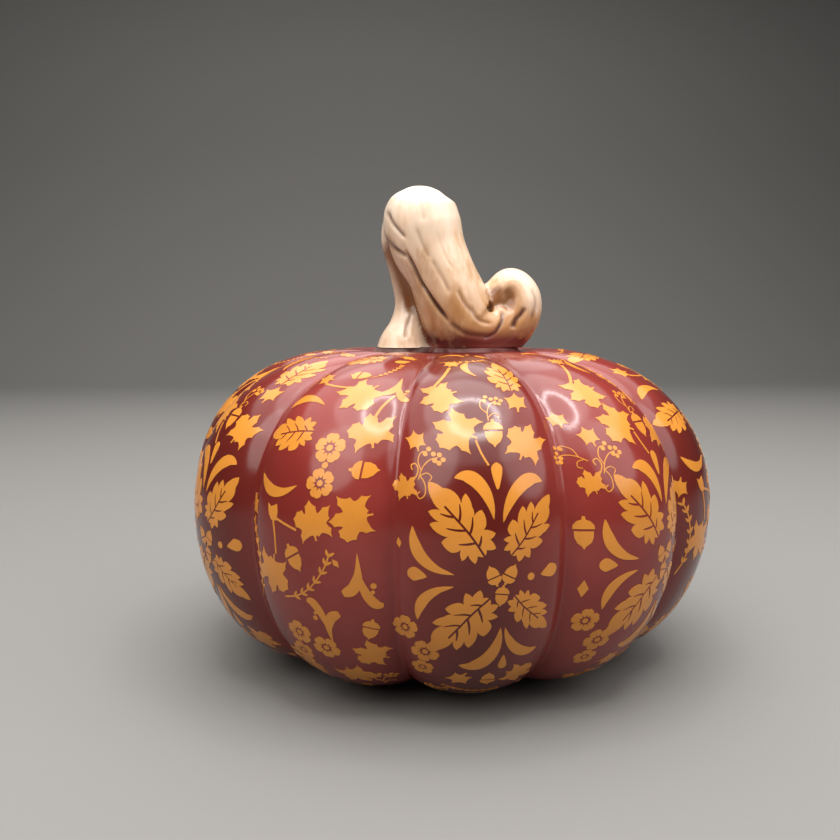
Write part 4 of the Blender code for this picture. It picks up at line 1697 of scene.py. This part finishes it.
# %% [markdown]
# ## The slip that holds the stem
#
# Liquid clay was brushed round the stem's foot to stick it down, and it squeezed out as an uneven
# bead that the glaze half covered. It is built as the outline of the foot, two overlapping ovals,
# with a small rounded profile carried round it. Slow sines make the bead wander in width and
# height, which a plain ring would not.

# %% Slip bead
FOOT_OVALS = ((-0.0176, 0.005, 0.0120, 0.0120), (0.0107, -0.002, 0.0186, 0.0131))
BEAD_STEPS = 220
BEAD_EASING = 3


def foot_reach(turn):
    """How far the foot's outline lies from the stem's axis in one direction."""
    across, back = math.cos(turn), math.sin(turn)
    reach = 0.0
    for x, y, wide, deep in FOOT_OVALS:
        a = (across / wide) ** 2 + (back / deep) ** 2
        b = -2 * (across * x / wide ** 2 + back * y / deep ** 2)
        c = (x / wide) ** 2 + (y / deep) ** 2 - 1
        root = b * b - 4 * a * c
        if root > 0:
            reach = max(reach, (-b + math.sqrt(root)) / (2 * a))
    return reach


def make_bead():
    raw = np.array([foot_reach(math.tau * i / BEAD_STEPS) for i in range(BEAD_STEPS)])
    eased = sum(np.roll(raw, shift) for shift in range(-BEAD_EASING, BEAD_EASING + 1)) / (2 * BEAD_EASING + 1)
    top, low = STEM_BOTTOM + 0.35 * MM, SEAT_HEIGHT - 0.25 * MM
    profile = ((-2.4, top - 0.3 * MM), (-0.5, top), (0.05, top - 0.40 * MM), (0.45, top - 1.00 * MM),
               (1.00, SEAT_HEIGHT + 0.25 * MM), (1.70, low), (-2.4, low))
    shape = bmesh.new()
    rings = []
    for index in range(BEAD_STEPS):
        turn = math.tau * index / BEAD_STEPS
        swell = 1 + 0.35 * math.sin(5 * turn + 1) + 0.25 * math.sin(11 * turn) + 0.18 * math.sin(23 * turn + 2)
        ring = []
        for out, height in profile:
            reach = eased[index] + (out * (swell if out > 0 else 1.0)) * MM
            lift = 0.22 * MM * (swell - 1) if out > -1 and height > SEAT_HEIGHT else 0.0
            ring.append(shape.verts.new((reach * math.cos(turn), reach * math.sin(turn), height + lift)))
        rings.append(ring)
    for one, two in zip(rings, rings[1:] + rings[:1]):
        for i in range(len(profile)):
            j = (i + 1) % len(profile)
            shape.faces.new((one[i], two[i], two[j], one[j]))
    bmesh.ops.recalc_face_normals(shape, faces=shape.faces)
    mesh = bpy.data.meshes.new("slip_bead")
    shape.to_mesh(mesh)
    shape.free()
    mesh.shade_smooth()
    bead = piece_from("slip_bead", mesh)
    fine = bead.modifiers.new("fine", "SUBSURF")
    fine.levels = fine.render_levels = 1
    return bead


SLIP = (0.170, 0.120, 0.105)
SLIP_STAINED = (0.095, 0.018, 0.014)


def slip_material():
    material, board, shader = new_board("joining_slip_fine")
    place = object_place(board)
    wander = noise(board, place, 75.0, 3.0, 0.6)
    grain = noise(board, place, 600.0, 2.0, 0.6)
    split = board.raw("ShaderNodeSeparateXYZ", {}, {"Vector": place})
    bare = (1 - Wire(board, split.outputs["X"]).between(-0.014, 0.002)) * wander.between(0.40, 0.56)
    board.plug(shader.inputs["Base Color"], mixed(board, bare * 0.9, SLIP_STAINED, SLIP))
    board.plug(shader.inputs["Roughness"], 0.42 + bare * 0.25)
    shader.inputs["Specular IOR Level"].default_value = 0.25
    board.plug(shader.inputs["Normal"], bumped(board, wander + grain * 0.3, 0.16, 0.0005))
    return material


slip_bead = make_bead()
slip_bead.data.materials.append(slip_material())
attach(slip_bead, "root")
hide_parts("stem_luting_seam")
print("bead round the foot:", len(slip_bead.data.polygons), "faces")

# %% [markdown]
# ## Felt pads
#
# Four self-adhesive felt dots keep the unglazed foot off the furniture. Each is punched from
# pressed wool, so its edge is soft and slightly fuzzy. A ring profile turned about the pad's own
# middle gives the rounded edge, and a little seeded unevenness stops the rim being a perfect circle.

# %% Pads
PAD_SIDES = 56
PAD_WOBBLE = 0.02
# The pad's profile, from the middle of its underside round to the middle of its top, as shares.
PAD_PROFILE = ((0.0, 0.0), (0.5, 0.0), (0.94, 0.0), (1.0, 0.25), (1.0, 0.75), (0.95, 1.0), (0.5, 1.0), (0.0, 1.0))
FELT = (0.100, 0.095, 0.092)
FELT_LIGHT = (0.190, 0.180, 0.172)


def felt_material():
    material, board, shader = new_board("grey_felt_fine")
    place = object_place(board)
    fibres = noise(board, place, 1500.0, 4.0, 0.7, 1.5)
    clumps = noise(board, place, 240.0, 2.0, 0.5)
    board.plug(shader.inputs["Base Color"], mixed(board, fibres * 0.6 + clumps * 0.4, FELT, FELT_LIGHT))
    board.plug(shader.inputs["Roughness"], 0.86 + fibres * 0.12)
    board.plug(shader.inputs["Normal"], bumped(board, fibres + clumps * 0.6, 0.6, 0.0004))
    return material


def make_pad(node, felt, dice):
    low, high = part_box(node)
    middle_x, middle_y = (low.x + high.x) / 2, (low.y + high.y) / 2
    radius, thick = (high.x - low.x) / 2, high.z - low.z
    wobble = [1 - PAD_WOBBLE * dice.random() for _ in range(PAD_SIDES)]
    shape = bmesh.new()
    previous = None
    for share, up in PAD_PROFILE:
        ring = []
        for i in range(PAD_SIDES if share else 1):
            turn, reach = math.tau * i / PAD_SIDES, radius * share * wobble[i]
            place = (middle_x + reach * math.cos(turn), middle_y + reach * math.sin(turn), low.z + thick * up)
            ring.append(shape.verts.new(place))
        for i in range(PAD_SIDES if previous else 0):
            j = (i + 1) % PAD_SIDES
            one, two = previous[i % len(previous)], previous[j % len(previous)]
            three, four = ring[j % len(ring)], ring[i % len(ring)]
            shape.faces.new(list(dict.fromkeys((one, two, three, four))))
        previous = ring
    bmesh.ops.recalc_face_normals(shape, faces=shape.faces)
    mesh = bpy.data.meshes.new(f"{node}_fine")
    shape.to_mesh(mesh)
    shape.free()
    mesh.shade_smooth()
    mesh.materials.append(felt)
    pad = piece_from(f"{node}_fine", mesh)
    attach(pad, "root")
    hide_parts(node)


felt = felt_material()
dice = random.Random(4)
pad_nodes = [f"felt_pad_{number}" for number in range(1, 5)]
for node in pad_nodes:
    make_pad(node, felt, dice)
print("felt pads:", len(pad_nodes))

# %% [markdown]
# ## Clearing the guides
#
# The guides have done their work and are removed.

# %% Finish
bpy.data.objects.remove(cast_outline)
for drawing in list(ink_library.objects):
    bpy.data.objects.remove(drawing)
bpy.data.collections.remove(ink_library)
